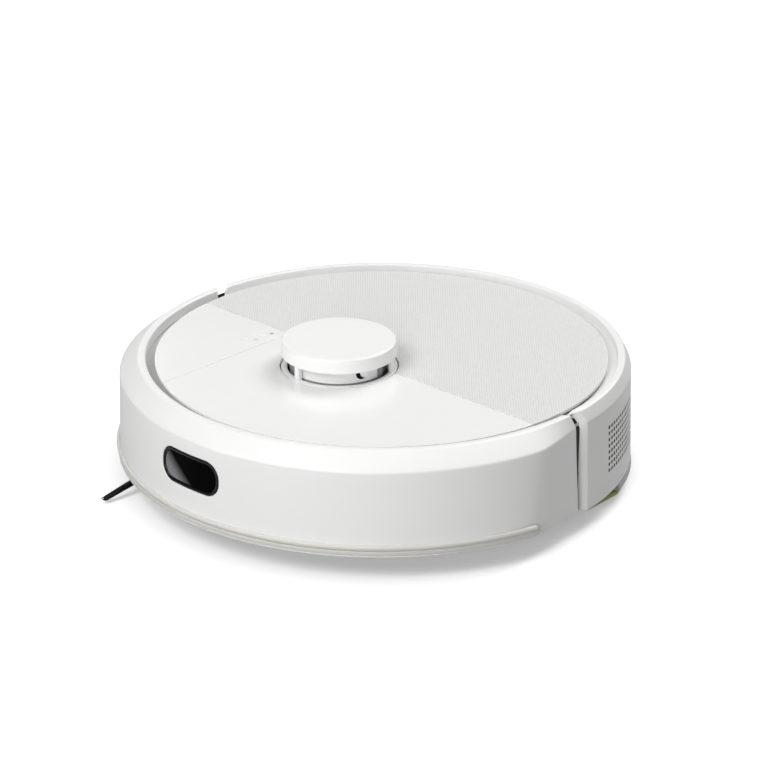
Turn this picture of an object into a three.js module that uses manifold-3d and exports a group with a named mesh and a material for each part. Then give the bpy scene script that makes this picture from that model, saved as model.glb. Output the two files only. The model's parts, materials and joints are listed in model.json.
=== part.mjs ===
// Robot vacuum with a laser turret, a side brush and a rear mop module.
// Millimetres, +Z up, the front is -Y. The body's own axis is the centre of its round covers;
// the whole body group is shifted along Y so that the origin is at the base's centre on the floor.

import * as THREE from 'three';
import { mergeVertices } from 'three/addons/utils/BufferGeometryUtils.js';
import Module from 'manifold-3d';

const wasm = await Module();
wasm.setup();

// ---------------------------------------------------------------- driving dimensions

const GAP = 0.3;                  // clearance between fitted pieces
const SKIN = 2.4;                 // wall of the outer shells
const RIB = 2;                    // wall of the inner pieces
const ROUND = 72;                 // sides of the large round shells
const MEDIUM = 36;                // sides of the turret and the wheels
const SMALL = 16;                 // sides of pins and bores
const COIL_STEPS = 6;             // straight stretches in one turn of a spring

const COVER_Z = 79.5;             // top face of the covers, above the floor
const COVER_R = 150;
const COVER_THICK = 1.8;
const LEDGE = 3.7;                // height of the deck's ledges, from the deck to the covers
const RIM_SLOT = 6;               // slot between the covers and the raised rim
const RIM_RISE = 2.6;             // rim crest above the covers
const CREST_WIDTH = 5;

const BUMPER_BEVEL = 12.4;        // how far the bevel reaches out from the crest
const BUMPER_SHOULDER_DROP = 7;   // covers to the top of the bumper's wall
const BUMPER_DRAFT = 1.7;         // how much wider the bumper is at its foot
const BUMPER_FOOT_Z = 15.5;
const BUMPER_TRAVEL = 4;
const FACET_INSET = 5.5;          // depth of the flattened sides at the body's axis
const FACET_SLOPE = 0.0735;
const FACET_START_Y = -30;
const END_Y = 2;                  // the bumper ends here, at the outside of its crest
const END_SLOPE = 0.698;          // slant of the bumper's end face, seen from above
const END_GAP = 6.5;              // slot between the bumper and the rear shell

const STRIP_PROUD = 1.9;          // how far the soft strip stands out from the bumper's foot
const STRIP_HEIGHT = 10;
const STRIP_GROOVE = 4.8;         // height of the groove above the strip's lower edge
const STRIP_END_Y = -38;

const WINDOW_WIDTH = 52.5;
const WINDOW_HEIGHT = 25.3;
const WINDOW_DROP = 15.9;         // covers to the top of the window
const WINDOW_CORNER = 9;

const SHELL_BEVEL = 4;
const SHELL_SHOULDER_DROP = 5;
const SHELL_FOOT_Z = 13.5;
const VENT_HOLE = 2.1;
const VENT_ROWS = 8;
const VENT_COLUMNS = 13;
const VENT_DROP = 19.5;           // covers to the top row of holes
const VENT_PITCH = 4.3;
const VENT_START = 15.6;          // angle of the first column, in degrees
const VENT_STEP = 1.44;

const PAN_Z = 12;                 // underside of the base pan
const PAN_THICK = 2.4;
const PAN_WALL_Z = 42;            // top of the pan's wall behind the bumper
const DECK_THICK = 2.2;

const SEAM_Y = -19;               // straight seam between the front and rear covers
const PANEL_X = -68;              // seam between the front cover and the control panel
const KEY_WIDTH = 15.2;
const KEY_LENGTHS = [14.2, 13.9];
const KEY_BAR = 0.8;              // bar of the panel between the keys and beside the seams
const KEY_TRAVEL = 0.7;

const TURRET = [-6, -34];
const TURRET_SLOT = 1.2;          // slot between the turret's cap and the covers
const CAP_R = 37.8;
const CAP_RISE = 18.5;            // covers to the top of the cap
const SKIRT_RISE = 9;             // covers to the lower edge of the cap's skirt
const CAP_WALL = 2.4;
const CAP_TRAVEL = 1.5;
const POST_ANGLES = [-97, 27, 147];
const DRUM_R = 28;
const TRACK_R = 24;
const PULLEY_R = 5;
const PULLEY_REACH = 33;          // drum axis to pulley axis
const SPINDLE_R = 6;
const SHAFT_R = 2;                // shafts of the small motors
const BELT_THICK = 1;
const TURRET_DEPTH = 17.5;        // covers to the underside of the turret's base
const BASE_THICK = 2.5;
const DRUM_LIFT = 2;              // turret base to the drum's toothed track

const WHEEL_X = 118;              // middle of the tyre
const WHEEL_Y = -4;
const WHEEL_R = 34;
const WHEEL_WIDTH = 20;
const TYRE_THICK = 8;
const WHEEL_ROOM = [22, 6];       // free length of the well in front of and behind the tyre
const PIVOT_SETBACK = 10;         // front of the well to the arm's pivot
const PIVOT_Z = 30;
const ARM_WIDTH = 15;
const ARM_R = 20;
const PIVOT_PIN_R = 2.5;
const AXLE_R = 4;

const CASTER_Y = -120;
const CASTER_R = 12;
const CASTER_WIDTH = 12;
const CASTER_TRAIL = 7;
const CASTER_STEM_R = 4;
const CASTER_AXLE_R = 2;
const CASTER_ROOF_Z = 33;

const BRUSH_Z = 23;
const BRUSH_R = 21;
const BRUSH_CORE_R = 8;
const BRUSH_HALF = 76;            // half length of the brush
const BRUSH_NOTCHES = [-38, 0, 38];
const BRUSH_NOTCH_WIDTH = 6;
const HOOD_ROOM = 2;              // free space around the turning brush

const SIDE_BRUSH = [-88, -108];
const SIDE_BRUSH_REACH = 65.5;
const SIDE_BRUSH_ANGLES = [-93.5, 26.5, 146.5];
const SIDE_BRUSH_TIP_Z = 2.4;
const SIDE_HUB_R = 7;

const BAY_X = 75.4;               // inside half width of the dust bin bay
const BAY_FLOOR_Z = 27.6;
const BIN_TOP_Z = 66;
const BIN_REAR_INSET = 7.5;       // outside of the rear shell to the back of the tub
const INLET_X = 50;
const INLET_Z = [32, 44];
const FACE_GAP = 0.6;
const RELEASE_HALF = 16;
const RELEASE_Z = [49, 61];
const RELEASE_TRAVEL = 2;

const FAN_SETBACK = 40;           // main brush to the fan's axis
const FAN_Z = 42;
const FAN_R = 25;
const FAN_DEPTH = 30.5;
const FAN_EYE_R = 11;
const FAN_CAN = [12, 14];         // radius and length of the fan's motor
const DUCT_END_X = 146;

const BATTERY_X = 40;             // half width
const BATTERY_Y = [-90, -20];
const BATTERY_HEIGHT = 22;
const BOARD_Z = 44;

const TANK_SETBACK = 36;          // main brush to the front of the tank
const FLANGE_Z = 7;
const FLANGE_THICK = 4.7;
const MOP_PLATE_Z = 3.5;
const MOP_PLATE_THICK = 3.2;
const WING_HEIGHT = 6;
const PAD_THICK = 3.2;

// ---------------------------------------------------------------- dimensions that follow from them

const CENTRE = [0, 0];
const FAR = 260;                  // beyond every piece, for cutting tools
const BITE = 0.01;                // overlap of two shapes that are joined

const RIM_INNER_R = COVER_R + RIM_SLOT;
const CREST_R = RIM_INNER_R + CREST_WIDTH;
const CREST_Z = COVER_Z + RIM_RISE;
const BUMPER_R = CREST_R + BUMPER_BEVEL;
const SHELL_R = CREST_R + SHELL_BEVEL;
const STRIP_R = BUMPER_R + BUMPER_DRAFT + STRIP_PROUD;
const BODY_Y = (STRIP_R - SHELL_R) / 2;
const CORE_R = CREST_R;           // pan and deck inside the shells
const PAN_FRONT_R = BUMPER_R - SKIN - BUMPER_TRAVEL - 1;
const PAN_TOP = PAN_Z + PAN_THICK;
const DECK_Z = COVER_Z - COVER_THICK - LEDGE;
const DECK_UNDER = DECK_Z - DECK_THICK;
const LIP_Z = DECK_Z + 0.5;
const WINDOW_Z = [COVER_Z - WINDOW_DROP - WINDOW_HEIGHT, COVER_Z - WINDOW_DROP];

const TURRET_HOLE_R = CAP_R + TURRET_SLOT;
const CAP_TOP_Z = COVER_Z + CAP_RISE;
const CAP_SKIRT_Z = COVER_Z + SKIRT_RISE;
const DRUM_TOP_Z = CAP_SKIRT_Z - 0.9;
const BASE_Z = COVER_Z - TURRET_DEPTH;
const BASE_TOP = BASE_Z + BASE_THICK;
const TRACK_Z = [BASE_TOP + DRUM_LIFT, BASE_TOP + DRUM_LIFT + 4.5];
const BASE_R = Math.max(PULLEY_REACH + PULLEY_R + BELT_THICK + GAP + 2.7, CAP_R + GAP + RIB);

const WELL_X = [WHEEL_X - WHEEL_WIDTH / 2 - 3 - ARM_WIDTH - 2, WHEEL_X + WHEEL_WIDTH / 2 + 3];
const WELL_Y = [WHEEL_Y - WHEEL_R - WHEEL_ROOM[0], WHEEL_Y + WHEEL_R + WHEEL_ROOM[1]];
const ARM_X = [WELL_X[0] + 2, WELL_X[0] + 2 + ARM_WIDTH];
const PIVOT_Y = WELL_Y[0] + PIVOT_SETBACK;
const CASTER_CUP_R = CASTER_TRAIL + CASTER_R + 2.3;

const BRUSH_Y = WELL_Y[1] + RIB + 10;
const HOOD_R = BRUSH_R + HOOD_ROOM;
const HOOD_END = BRUSH_HALF + 1.2;
const MOUTH_X = HOOD_END + RIB + 0.8;
const MOUTH_Y = BRUSH_R + 1;

const BIN_REAR_R = SHELL_R - BIN_REAR_INSET;
const BAY_Y = [BRUSH_Y + HOOD_R + 8.8, Math.sqrt(BIN_REAR_R ** 2 - BAY_X ** 2) - GAP];
const BIN_SIDE = BAY_X - GAP;
const BIN_FLOOR_Z = BAY_FLOOR_Z + RIB + GAP;
const BIN_FRONT_Y = BAY_Y[0] + RIB + GAP;
const FACE_TOP_Z = BIN_TOP_Z + 2 * RIB;
const FAN_FRONT = Math.max(HOOD_END, BAY_X) + RIB + GAP;
const FAN_X = [FAN_FRONT, FAN_FRONT + FAN_DEPTH];
const FAN_ROOM_R = SHELL_R - 2 * SKIN;      // the fan and its motor stay inside this radius
const FAN_Y = Math.min(
  BRUSH_Y + FAN_SETBACK,
  Math.sqrt(FAN_ROOM_R ** 2 - FAN_X[1] ** 2) - FAN_R,
  Math.sqrt(FAN_ROOM_R ** 2 - (FAN_X[1] + FAN_CAN[1]) ** 2) - FAN_CAN[0],
);
const TANK_Y = BRUSH_Y + TANK_SETBACK;

// ---------------------------------------------------------------- materials

function finish(color, roughness, metalness = 0) {
  return new THREE.MeshStandardMaterial({ color, roughness, metalness });
}

const whiteShell = finish(0xf4f4f3, 0.35);
const whiteCover = finish(0xf7f7f6, 0.22);
const wovenCover = finish(0xe6e6e4, 0.6);
const creamSoft = finish(0xd9d6cc, 0.6);
const blackGloss = finish(0x0b0b0c, 0.08);
const darkPlastic = finish(0x2b2c2e, 0.55);
const greyPlastic = finish(0x8d9093, 0.5);
const mopGreen = finish(0x7c8c3c, 0.5);
const smokePlastic = finish(0x5c6063, 0.15);
const blackRubber = finish(0x1a1a1b, 0.8);
const steel = finish(0xb9bcc0, 0.3, 1);
const nickel = finish(0xcfc9bd, 0.25, 1);
const boardGreen = finish(0x1f5d3a, 0.5);
const cellWrap = finish(0x2f5fa8, 0.4);
const filterPaper = finish(0xece8dc, 0.9);
const padCloth = finish(0xc9ccd0, 0.95);

// ---------------------------------------------------------------- solids

// A closed three.js geometry as a solid, with its faces turned outwards.
function solid(geometry) {
  const bare = geometry.clone();
  bare.deleteAttribute('normal');
  bare.deleteAttribute('uv');
  const merged = mergeVertices(bare, 1e-4);
  const vertProperties = new Float32Array(merged.attributes.position.array);
  const triVerts = new Uint32Array(merged.index.array);
  if (signedVolume(vertProperties, triVerts) < 0) {
    triVerts.reverse();
  }
  return new wasm.Manifold(new wasm.Mesh({ numProp: 3, vertProperties, triVerts }));
}

function signedVolume(points, triangles) {
  const corner = (index) => new THREE.Vector3().fromArray(points, 3 * index);
  let total = 0;
  for (let i = 0; i < triangles.length; i += 3) {
    const [a, b, c] = [corner(triangles[i]), corner(triangles[i + 1]), corner(triangles[i + 2])];
    total += a.dot(b.cross(c)) / 6;
  }
  return total;
}

function union(...solids) {
  return solids.reduce((sum, next) => sum.add(next));
}

// A box between two corners; each pair may come in either order.
function block(xs, ys, zs) {
  const middle = (pair) => (pair[0] + pair[1]) / 2;
  const size = (pair) => Math.abs(pair[1] - pair[0]);
  const geometry = new THREE.BoxGeometry(size(xs), size(ys), size(zs));
  geometry.translate(middle(xs), middle(ys), middle(zs));
  return solid(geometry);
}

// An upright cylinder.
function disc(centre, radius, zs, sides = MEDIUM) {
  const geometry = new THREE.CylinderGeometry(radius, radius, zs[1] - zs[0], sides);
  geometry.rotateX(Math.PI / 2);
  geometry.translate(centre[0], centre[1], (zs[0] + zs[1]) / 2);
  return solid(geometry);
}

function ring(centre, inner, outer, zs, sides = MEDIUM) {
  return disc(centre, outer, zs, sides).subtract(disc(centre, inner, [zs[0] - 1, zs[1] + 1], sides));
}

// A cylinder along X between two x values.
function rodX(xs, y, z, radius, sides = SMALL) {
  const geometry = new THREE.CylinderGeometry(radius, radius, Math.abs(xs[1] - xs[0]), sides);
  geometry.rotateZ(Math.PI / 2);
  geometry.translate((xs[0] + xs[1]) / 2, y, z);
  return solid(geometry);
}

// A cylinder along Y between two y values.
function rodY(x, ys, z, radius, sides = SMALL) {
  const geometry = new THREE.CylinderGeometry(radius, radius, Math.abs(ys[1] - ys[0]), sides);
  geometry.translate(x, (ys[0] + ys[1]) / 2, z);
  return solid(geometry);
}

// A profile of [radius, height] points turned about the vertical axis; it starts and ends on the axis
// or closes on itself.
function revolve(profile, sides = ROUND) {
  const points = profile.map(([radius, height]) => new THREE.Vector2(radius, height));
  const geometry = new THREE.LatheGeometry(points, sides);
  geometry.rotateX(Math.PI / 2);
  return solid(geometry);
}

// A flat outline raised between two heights.
function prism(outline, zs) {
  const shape = outline instanceof THREE.Shape
    ? outline
    : new THREE.Shape(outline.map(([x, y]) => new THREE.Vector2(x, y)));
  const depth = zs[1] - zs[0];
  const geometry = new THREE.ExtrudeGeometry(shape, { depth, bevelEnabled: false, curveSegments: 8 });
  geometry.translate(0, 0, zs[0]);
  return solid(geometry);
}

// A Y-Z outline extended along X between two x values.
function prismX(outline, xs) {
  const low = Math.min(...xs);
  const shape = new THREE.Shape(outline.map(([y, z]) => new THREE.Vector2(y, z)));
  const geometry = new THREE.ExtrudeGeometry(shape, { depth: Math.abs(xs[1] - xs[0]), bevelEnabled: false });
  const turn = new THREE.Matrix4().set(0, 0, 1, low, 1, 0, 0, 0, 0, 1, 0, 0, 0, 0, 0, 1);
  geometry.applyMatrix4(turn);
  return solid(geometry);
}

// The outline around two circles, as on a belt or a teardrop arm.
function teardrop(a, radiusA, b, radiusB, sides = 12) {
  const heading = Math.atan2(b[1] - a[1], b[0] - a[0]);
  const reach = Math.hypot(b[0] - a[0], b[1] - a[1]);
  const lean = Math.acos((radiusA - radiusB) / reach);
  const arc = (centre, radius, from, to) => Array.from({ length: sides + 1 }, (_, i) => {
    const angle = from + ((to - from) * i) / sides;
    return [centre[0] + radius * Math.cos(angle), centre[1] + radius * Math.sin(angle)];
  });
  return [
    ...arc(a, radiusA, heading + lean, heading + 2 * Math.PI - lean),
    ...arc(b, radiusB, heading - lean, heading + lean),
  ];
}

function roundedRectangle(width, height, radius) {
  const [x, y] = [width / 2, height / 2];
  const shape = new THREE.Shape();
  shape.moveTo(-x + radius, -y);
  shape.lineTo(x - radius, -y);
  shape.absarc(x - radius, -y + radius, radius, -Math.PI / 2, 0, false);
  shape.lineTo(x, y - radius);
  shape.absarc(x - radius, y - radius, radius, 0, Math.PI / 2, false);
  shape.lineTo(-x + radius, y);
  shape.absarc(-x + radius, y - radius, radius, Math.PI / 2, Math.PI, false);
  shape.lineTo(-x, -y + radius);
  shape.absarc(-x + radius, -y + radius, radius, Math.PI, 1.5 * Math.PI, false);
  return shape;
}

// A round wire coiled about the vertical axis.
function coil(radius, wire, zs, turns) {
  const steps = turns * COIL_STEPS;
  const points = Array.from({ length: steps + 1 }, (_, i) => {
    const angle = (2 * Math.PI * i) / COIL_STEPS;
    const height = zs[0] + wire + ((zs[1] - zs[0] - 2 * wire) * i) / steps;
    return new THREE.Vector3(radius * Math.cos(angle), radius * Math.sin(angle), height);
  });
  const section = new THREE.Shape(Array.from({ length: 4 }, (_, i) => {
    const angle = (Math.PI * i) / 2;
    return new THREE.Vector2(wire * Math.cos(angle), wire * Math.sin(angle));
  }));
  const extrudePath = new THREE.CatmullRomCurve3(points);
  return new THREE.ExtrudeGeometry(section, { extrudePath, steps });
}

function asGeometry(shape) {
  const { vertProperties, triVerts } = shape.getMesh();
  const geometry = new THREE.BufferGeometry();
  geometry.setAttribute('position', new THREE.BufferAttribute(new Float32Array(vertProperties), 3));
  geometry.setIndex(new THREE.BufferAttribute(new Uint32Array(triVerts), 1));
  return geometry;
}

function piece(name, shape, material, place = [0, 0, 0]) {
  const geometry = shape instanceof THREE.BufferGeometry ? shape : asGeometry(shape);
  const mesh = new THREE.Mesh(geometry, material);
  mesh.name = name;
  mesh.position.set(...place);
  return mesh;
}

function group(place, ...pieces) {
  const holder = new THREE.Group();
  holder.position.set(...place);
  holder.add(...pieces);
  return holder;
}

// ---------------------------------------------------------------- outer shells

// The plan in front of (side -1) or behind (side 1) the slanted end line, moved back by a distance.
function endPlan(side, distance) {
  const slant = Math.hypot(1, END_SLOPE);
  const atAxis = END_Y - CREST_R * END_SLOPE + distance * slant;
  const edge = atAxis + FAR * END_SLOPE;
  const beyond = side * 2 * FAR;
  return prism([[-FAR, edge], [0, atAxis], [FAR, edge], [FAR, beyond], [-FAR, beyond]], [-1, FAR]);
}

// The plan between the two flattened sides of the bumper, set inwards by a distance.
function facetPlan(inset) {
  const limit = (y) => BUMPER_R - FACET_INSET - inset - FACET_SLOPE * y;
  return prism([
    [-limit(-FAR), -FAR], [limit(-FAR), -FAR], [limit(FAR / 4), FAR / 4], [-limit(FAR / 4), FAR / 4],
  ], [-1, FAR]);
}

// The full round body of a shell with a bevelled shoulder, down to its foot.
function shellBody(wallR, draft, footZ, shoulderZ, inset) {
  return revolve([
    [0, footZ - inset],
    [wallR + draft - inset, footZ - inset],
    [wallR - inset, shoulderZ - inset / 2],
    [CREST_R - inset / 2, CREST_Z - inset],
    [0, CREST_Z - inset],
  ]);
}

// The inner rim, cleared out of a shell's hollow, so that the rim keeps its wall.
function rimWall() {
  return ring(CENTRE, RIM_INNER_R, RIM_INNER_R + SKIN, [LIP_Z, CREST_Z], ROUND);
}

function windowPrism(inset) {
  const shape = roundedRectangle(
    WINDOW_WIDTH - 2 * inset, WINDOW_Z[1] - WINDOW_Z[0] - 2 * inset, WINDOW_CORNER - inset,
  );
  const geometry = new THREE.ExtrudeGeometry(shape, { depth: FAR, bevelEnabled: false, curveSegments: 6 });
  geometry.rotateX(Math.PI / 2);
  geometry.translate(0, -100, (WINDOW_Z[0] + WINDOW_Z[1]) / 2);
  return solid(geometry);
}

function frontBumper() {
  const shoulder = COVER_Z - BUMPER_SHOULDER_DROP;
  const outer = shellBody(BUMPER_R, BUMPER_DRAFT, BUMPER_FOOT_Z, shoulder, 0).intersect(facetPlan(0));
  const hollow = shellBody(BUMPER_R, BUMPER_DRAFT, BUMPER_FOOT_Z - SKIN, shoulder, SKIN)
    .intersect(facetPlan(SKIN))
    .subtract(rimWall());
  const opening = disc(CENTRE, RIM_INNER_R, [-1, FAR], ROUND);
  const shape = outer
    .subtract(hollow)
    .subtract(opening)
    .intersect(endPlan(-1, 0))
    .subtract(windowPrism(0));
  return piece('front_bumper', shape, whiteShell);
}

function bumperWindow() {
  const face = ring(CENTRE, BUMPER_R - SKIN, BUMPER_R + 0.3, WINDOW_Z, ROUND);
  return piece('bumper_window', face.intersect(windowPrism(GAP)), blackGloss);
}

function bumperStrip() {
  const inner = BUMPER_R + BUMPER_DRAFT + GAP;
  const low = BUMPER_FOOT_Z + 3 * GAP;
  const high = low + STRIP_HEIGHT;
  const groove = low + STRIP_GROOVE;
  const band = revolve([
    [inner, low],
    [STRIP_R - 0.8, low],
    [STRIP_R - 0.4, groove - 0.6],
    [STRIP_R - 1.2, groove],
    [STRIP_R, groove + 0.6],
    [STRIP_R, high - 0.7],
    [inner, high],
    [inner, low],
  ]);
  return piece('bumper_strip', band.intersect(block([-FAR, FAR], [-FAR, STRIP_END_Y], [0, FAR])), creamSoft);
}

function ventHoles() {
  const bars = [];
  for (let column = 0; column < VENT_COLUMNS; column += 1) {
    for (let row = 0; row < VENT_ROWS; row += 1) {
      const geometry = new THREE.BoxGeometry(4 * SKIN, VENT_HOLE, VENT_HOLE);
      geometry.translate(SHELL_R - SKIN / 2, 0, COVER_Z - VENT_DROP - row * VENT_PITCH);
      geometry.rotateZ(THREE.MathUtils.degToRad(VENT_START + column * VENT_STEP));
      bars.push(solid(geometry));
    }
  }
  return union(...bars);
}

function rearShell() {
  const shoulder = COVER_Z - SHELL_SHOULDER_DROP;
  const outer = shellBody(SHELL_R, 0, SHELL_FOOT_Z, shoulder, 0)
    .subtract(disc(CENTRE, RIM_INNER_R, [-1, FAR], ROUND));
  const hollow = shellBody(SHELL_R, 0, SHELL_FOOT_Z - SKIN, shoulder, SKIN)
    .intersect(endPlan(1, END_GAP + SKIN))
    .subtract(rimWall());
  const core = disc(CENTRE, CORE_R + GAP, [-1, LIP_Z], ROUND);
  const binNotch = block(
    [-BAY_X + GAP, BAY_X - GAP], [TANK_Y, FAR], [-1, FACE_TOP_Z + FACE_GAP],
  );
  const shape = outer
    .subtract(hollow)
    .subtract(core)
    .intersect(endPlan(1, END_GAP))
    .subtract(binNotch)
    .subtract(ventHoles());
  return piece('rear_shell', shape, whiteShell);
}

// ---------------------------------------------------------------- covers, control keys, deck

function coverPlate() {
  return disc(CENTRE, COVER_R, [COVER_Z - COVER_THICK, COVER_Z], ROUND);
}

function turretHole() {
  return disc(TURRET, TURRET_HOLE_R, [DECK_Z - 1, FAR]);
}

// The plan of a key's opening, counted back from the seam, drawn in by an inset.
function keyPlan(index, inset) {
  const right = PANEL_X - KEY_BAR;
  const rear = SEAM_Y - KEY_BAR - index * (KEY_LENGTHS[0] + KEY_BAR);
  return [[right - KEY_WIDTH + inset, right - inset], [rear - KEY_LENGTHS[index] + inset, rear - inset]];
}

function frontCover() {
  const area = block([PANEL_X + GAP / 2, FAR], [-FAR, SEAM_Y - GAP / 2], [0, FAR]);
  return piece('front_cover', coverPlate().intersect(area).subtract(turretHole()), whiteCover);
}

function controlPanel() {
  const area = block([-FAR, PANEL_X - GAP / 2], [-FAR, SEAM_Y - GAP / 2], [0, FAR]);
  let panel = coverPlate().intersect(area);
  for (const index of [0, 1]) {
    panel = panel.subtract(block(...keyPlan(index, 0), [0, FAR]));
  }
  return piece('control_panel', panel, whiteCover);
}

function rearCover() {
  const area = block([-FAR, FAR], [SEAM_Y + GAP / 2, FAR], [0, FAR]);
  return piece('rear_cover', coverPlate().intersect(area).subtract(turretHole()), wovenCover);
}

function controlKey(name, index) {
  const [xs, ys] = keyPlan(index, GAP);
  const top = block(xs, ys, [COVER_Z - COVER_THICK, COVER_Z]);
  const middle = [(xs[0] + xs[1]) / 2, (ys[0] + ys[1]) / 2];
  const stem = disc(middle, 2, [DECK_Z + KEY_TRAVEL + GAP, COVER_Z - COVER_THICK], 12);
  return piece(name, union(top, stem), whiteCover);
}

function topDeck() {
  const ledge = [DECK_Z - BITE, COVER_Z - COVER_THICK - GAP];
  const plate = disc(CENTRE, CORE_R, [DECK_UNDER, DECK_Z], ROUND);
  const rimLedge = ring(CENTRE, COVER_R - 5, COVER_R - 2, ledge);
  const turretLedge = ring(TURRET, TURRET_HOLE_R + 0.5, TURRET_HOLE_R + 3, ledge);
  const seamLedge = block([-COVER_R + 4, COVER_R - 4], [SEAM_Y, SEAM_Y + 2 * RIB], ledge);
  const panelLedge = block([PANEL_X, PANEL_X + 2 * RIB], [-COVER_R + 22, SEAM_Y], ledge);
  const shape = union(plate, rimLedge, turretLedge, seamLedge, panelLedge)
    .subtract(disc(TURRET, CAP_R - 0.5, [0, FAR]));
  return piece('top_deck', shape, darkPlastic);
}

// ---------------------------------------------------------------- base pan

// Upright posts that carry the deck, outside the wheels and in front.
const SIDE_POST_X = WELL_X[1] + RIB + 9;
const DECK_POSTS = [[-66, -128], [66, -128], [-SIDE_POST_X, 8], [SIDE_POST_X, 8]];
const BOARD_POSTS = [[-58, -86], [58, -86], [-58, -30], [58, -30]];
const CONTACTS = [[-42, -134], [42, -134]];
const CLIFF_LENSES = [[-148, -50], [148, -50]];
const CONTACT_SIZE = [12, 20];
const LENS_SIZE = [8, 16];

function rectangleAt(centre, size, inset, zs) {
  const half = size.map((side) => side / 2 - inset);
  return block([centre[0] - half[0], centre[0] + half[0]], [centre[1] - half[1], centre[1] + half[1]], zs);
}

function wheelWell(side) {
  return block(
    [side * (WELL_X[0] - RIB), side * (WELL_X[1] + RIB)], [WELL_Y[0] - RIB, WELL_Y[1] + RIB],
    [PAN_TOP - BITE, DECK_UNDER - GAP],
  );
}

function wheelOpening(side) {
  return block([side * WELL_X[0], side * WELL_X[1]], WELL_Y, [-1, FAR]);
}

// The lug inside the well that holds the outer end of the arm's pivot pin.
function pivotLug(side) {
  const xs = [side * (ARM_X[1] + 0.5), side * (ARM_X[1] + 3.5)];
  const lug = block(xs, [WELL_Y[0] - BITE, PIVOT_Y + 5], [PIVOT_Z - 5, PIVOT_Z + 5]);
  return lug.subtract(rodX([0, side * FAR], PIVOT_Y, PIVOT_Z, PIVOT_PIN_R + GAP));
}

function casterCup() {
  const centre = [0, CASTER_Y];
  const outer = CASTER_CUP_R + RIB;
  const wall = ring(centre, CASTER_CUP_R, outer, [PAN_TOP - BITE, CASTER_ROOF_Z]);
  const roof = ring(centre, CASTER_STEM_R + GAP, outer, [CASTER_ROOF_Z - BITE, CASTER_ROOF_Z + RIB]);
  return union(wall, roof);
}

// The floor, wider behind the bumper than inside the rear shell, with its outer walls.
function panShell() {
  const zs = [PAN_Z, PAN_TOP];
  const front = block([-FAR, FAR], [-FAR, FACET_START_Y], [-1, FAR]);
  const besideSlots = block([-FAR, FAR], [FACET_START_Y, END_Y + 3 * END_GAP], [-1, FAR]);
  const wide = disc(CENTRE, PAN_FRONT_R, zs, ROUND).intersect(front);
  const frontWall = ring(CENTRE, PAN_FRONT_R - SKIN, PAN_FRONT_R, [PAN_TOP - BITE, PAN_WALL_Z], ROUND);
  const slotWall = ring(CENTRE, CORE_R - SKIN, CORE_R, [PAN_TOP - BITE, DECK_UNDER - GAP], ROUND);
  return union(
    disc(CENTRE, CORE_R, zs, ROUND), wide, frontWall.intersect(front), slotWall.intersect(besideSlots),
  );
}

function basePan() {
  let pan = union(panShell(), casterCup(), wheelWell(1), wheelWell(-1));
  for (const post of DECK_POSTS) {
    pan = pan.add(disc(post, 4, [PAN_TOP - BITE, DECK_UNDER - GAP], SMALL));
  }
  for (const post of BOARD_POSTS) {
    pan = pan.add(disc(post, 3, [PAN_TOP - BITE, BOARD_Z - GAP], SMALL));
  }
  for (const side of [1, -1]) {
    pan = pan.subtract(wheelOpening(side));
    pan = pan.add(pivotLug(side));
    pan = pan.subtract(rodX([0, side * (WELL_X[0] + 1)], PIVOT_Y, PIVOT_Z, PIVOT_PIN_R + GAP));
    pan = pan.subtract(springPocket(side));
  }
  pan = pan.subtract(disc([0, CASTER_Y], CASTER_CUP_R, [-1, 20]));
  pan = pan.subtract(disc(SIDE_BRUSH, 5, [-1, 20], SMALL));
  pan = pan.subtract(block([-MOUTH_X, MOUTH_X], [BRUSH_Y - MOUTH_Y, BRUSH_Y + MOUTH_Y], [-1, 20]));
  pan = pan.subtract(batteryOpening(0));
  pan = pan.subtract(block([-BAY_X - 2 * RIB, BAY_X + 2 * RIB], [TANK_Y - 2, FAR], [-1, 20]));
  for (const centre of CONTACTS) {
    pan = pan.subtract(rectangleAt(centre, CONTACT_SIZE, 0, [-1, 20]));
  }
  for (const centre of CLIFF_LENSES) {
    pan = pan.subtract(rectangleAt(centre, LENS_SIZE, 0, [-1, 20]));
  }
  return piece('base_pan', pan, darkPlastic);
}

function contactsAndLenses() {
  const zs = [PAN_Z - 0.4, PAN_TOP];
  const contacts = CONTACTS.map((centre, i) => piece(
    ['charging_contact_right', 'charging_contact_left'][i], rectangleAt(centre, CONTACT_SIZE, GAP, zs), nickel,
  ));
  const lenses = CLIFF_LENSES.map((centre, i) => piece(
    ['cliff_lens_right', 'cliff_lens_left'][i],
    rectangleAt(centre, LENS_SIZE, GAP, [PAN_Z, PAN_TOP]), blackGloss,
  ));
  return [...contacts, ...lenses];
}

// ---------------------------------------------------------------- bumper springs

const BUMPER_SPRING_X = 60;
const BUMPER_SPRING_Z = 32;
const BUMPER_SPRING_R = 4;
const BUMPER_SPRING_WIRE = 0.6;
const BUMPER_SPRING_LENGTH = 17;

// Where a spring presses on the bumper's inside.
function springFront() {
  const inner = BUMPER_R - SKIN;
  return -Math.sqrt(inner ** 2 - (BUMPER_SPRING_X + BUMPER_SPRING_R) ** 2);
}

// A cup through the pan's front wall, closed at the back, that holds a bumper spring.
function springPocket(side) {
  return rodY(side * BUMPER_SPRING_X, [-FAR, springFront() + BUMPER_SPRING_LENGTH + GAP], BUMPER_SPRING_Z,
    BUMPER_SPRING_R + BUMPER_SPRING_WIRE + GAP);
}

function bumperSpring(name, side) {
  const geometry = coil(BUMPER_SPRING_R, BUMPER_SPRING_WIRE, [0, BUMPER_SPRING_LENGTH - 2 * GAP], 5);
  geometry.rotateX(-Math.PI / 2);
  return piece(name, geometry, steel, [side * BUMPER_SPRING_X, springFront() + GAP, BUMPER_SPRING_Z]);
}

// ---------------------------------------------------------------- laser turret

function around(angle, radius) {
  const radians = THREE.MathUtils.degToRad(angle);
  return [radius * Math.cos(radians), radius * Math.sin(radians)];
}

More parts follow.
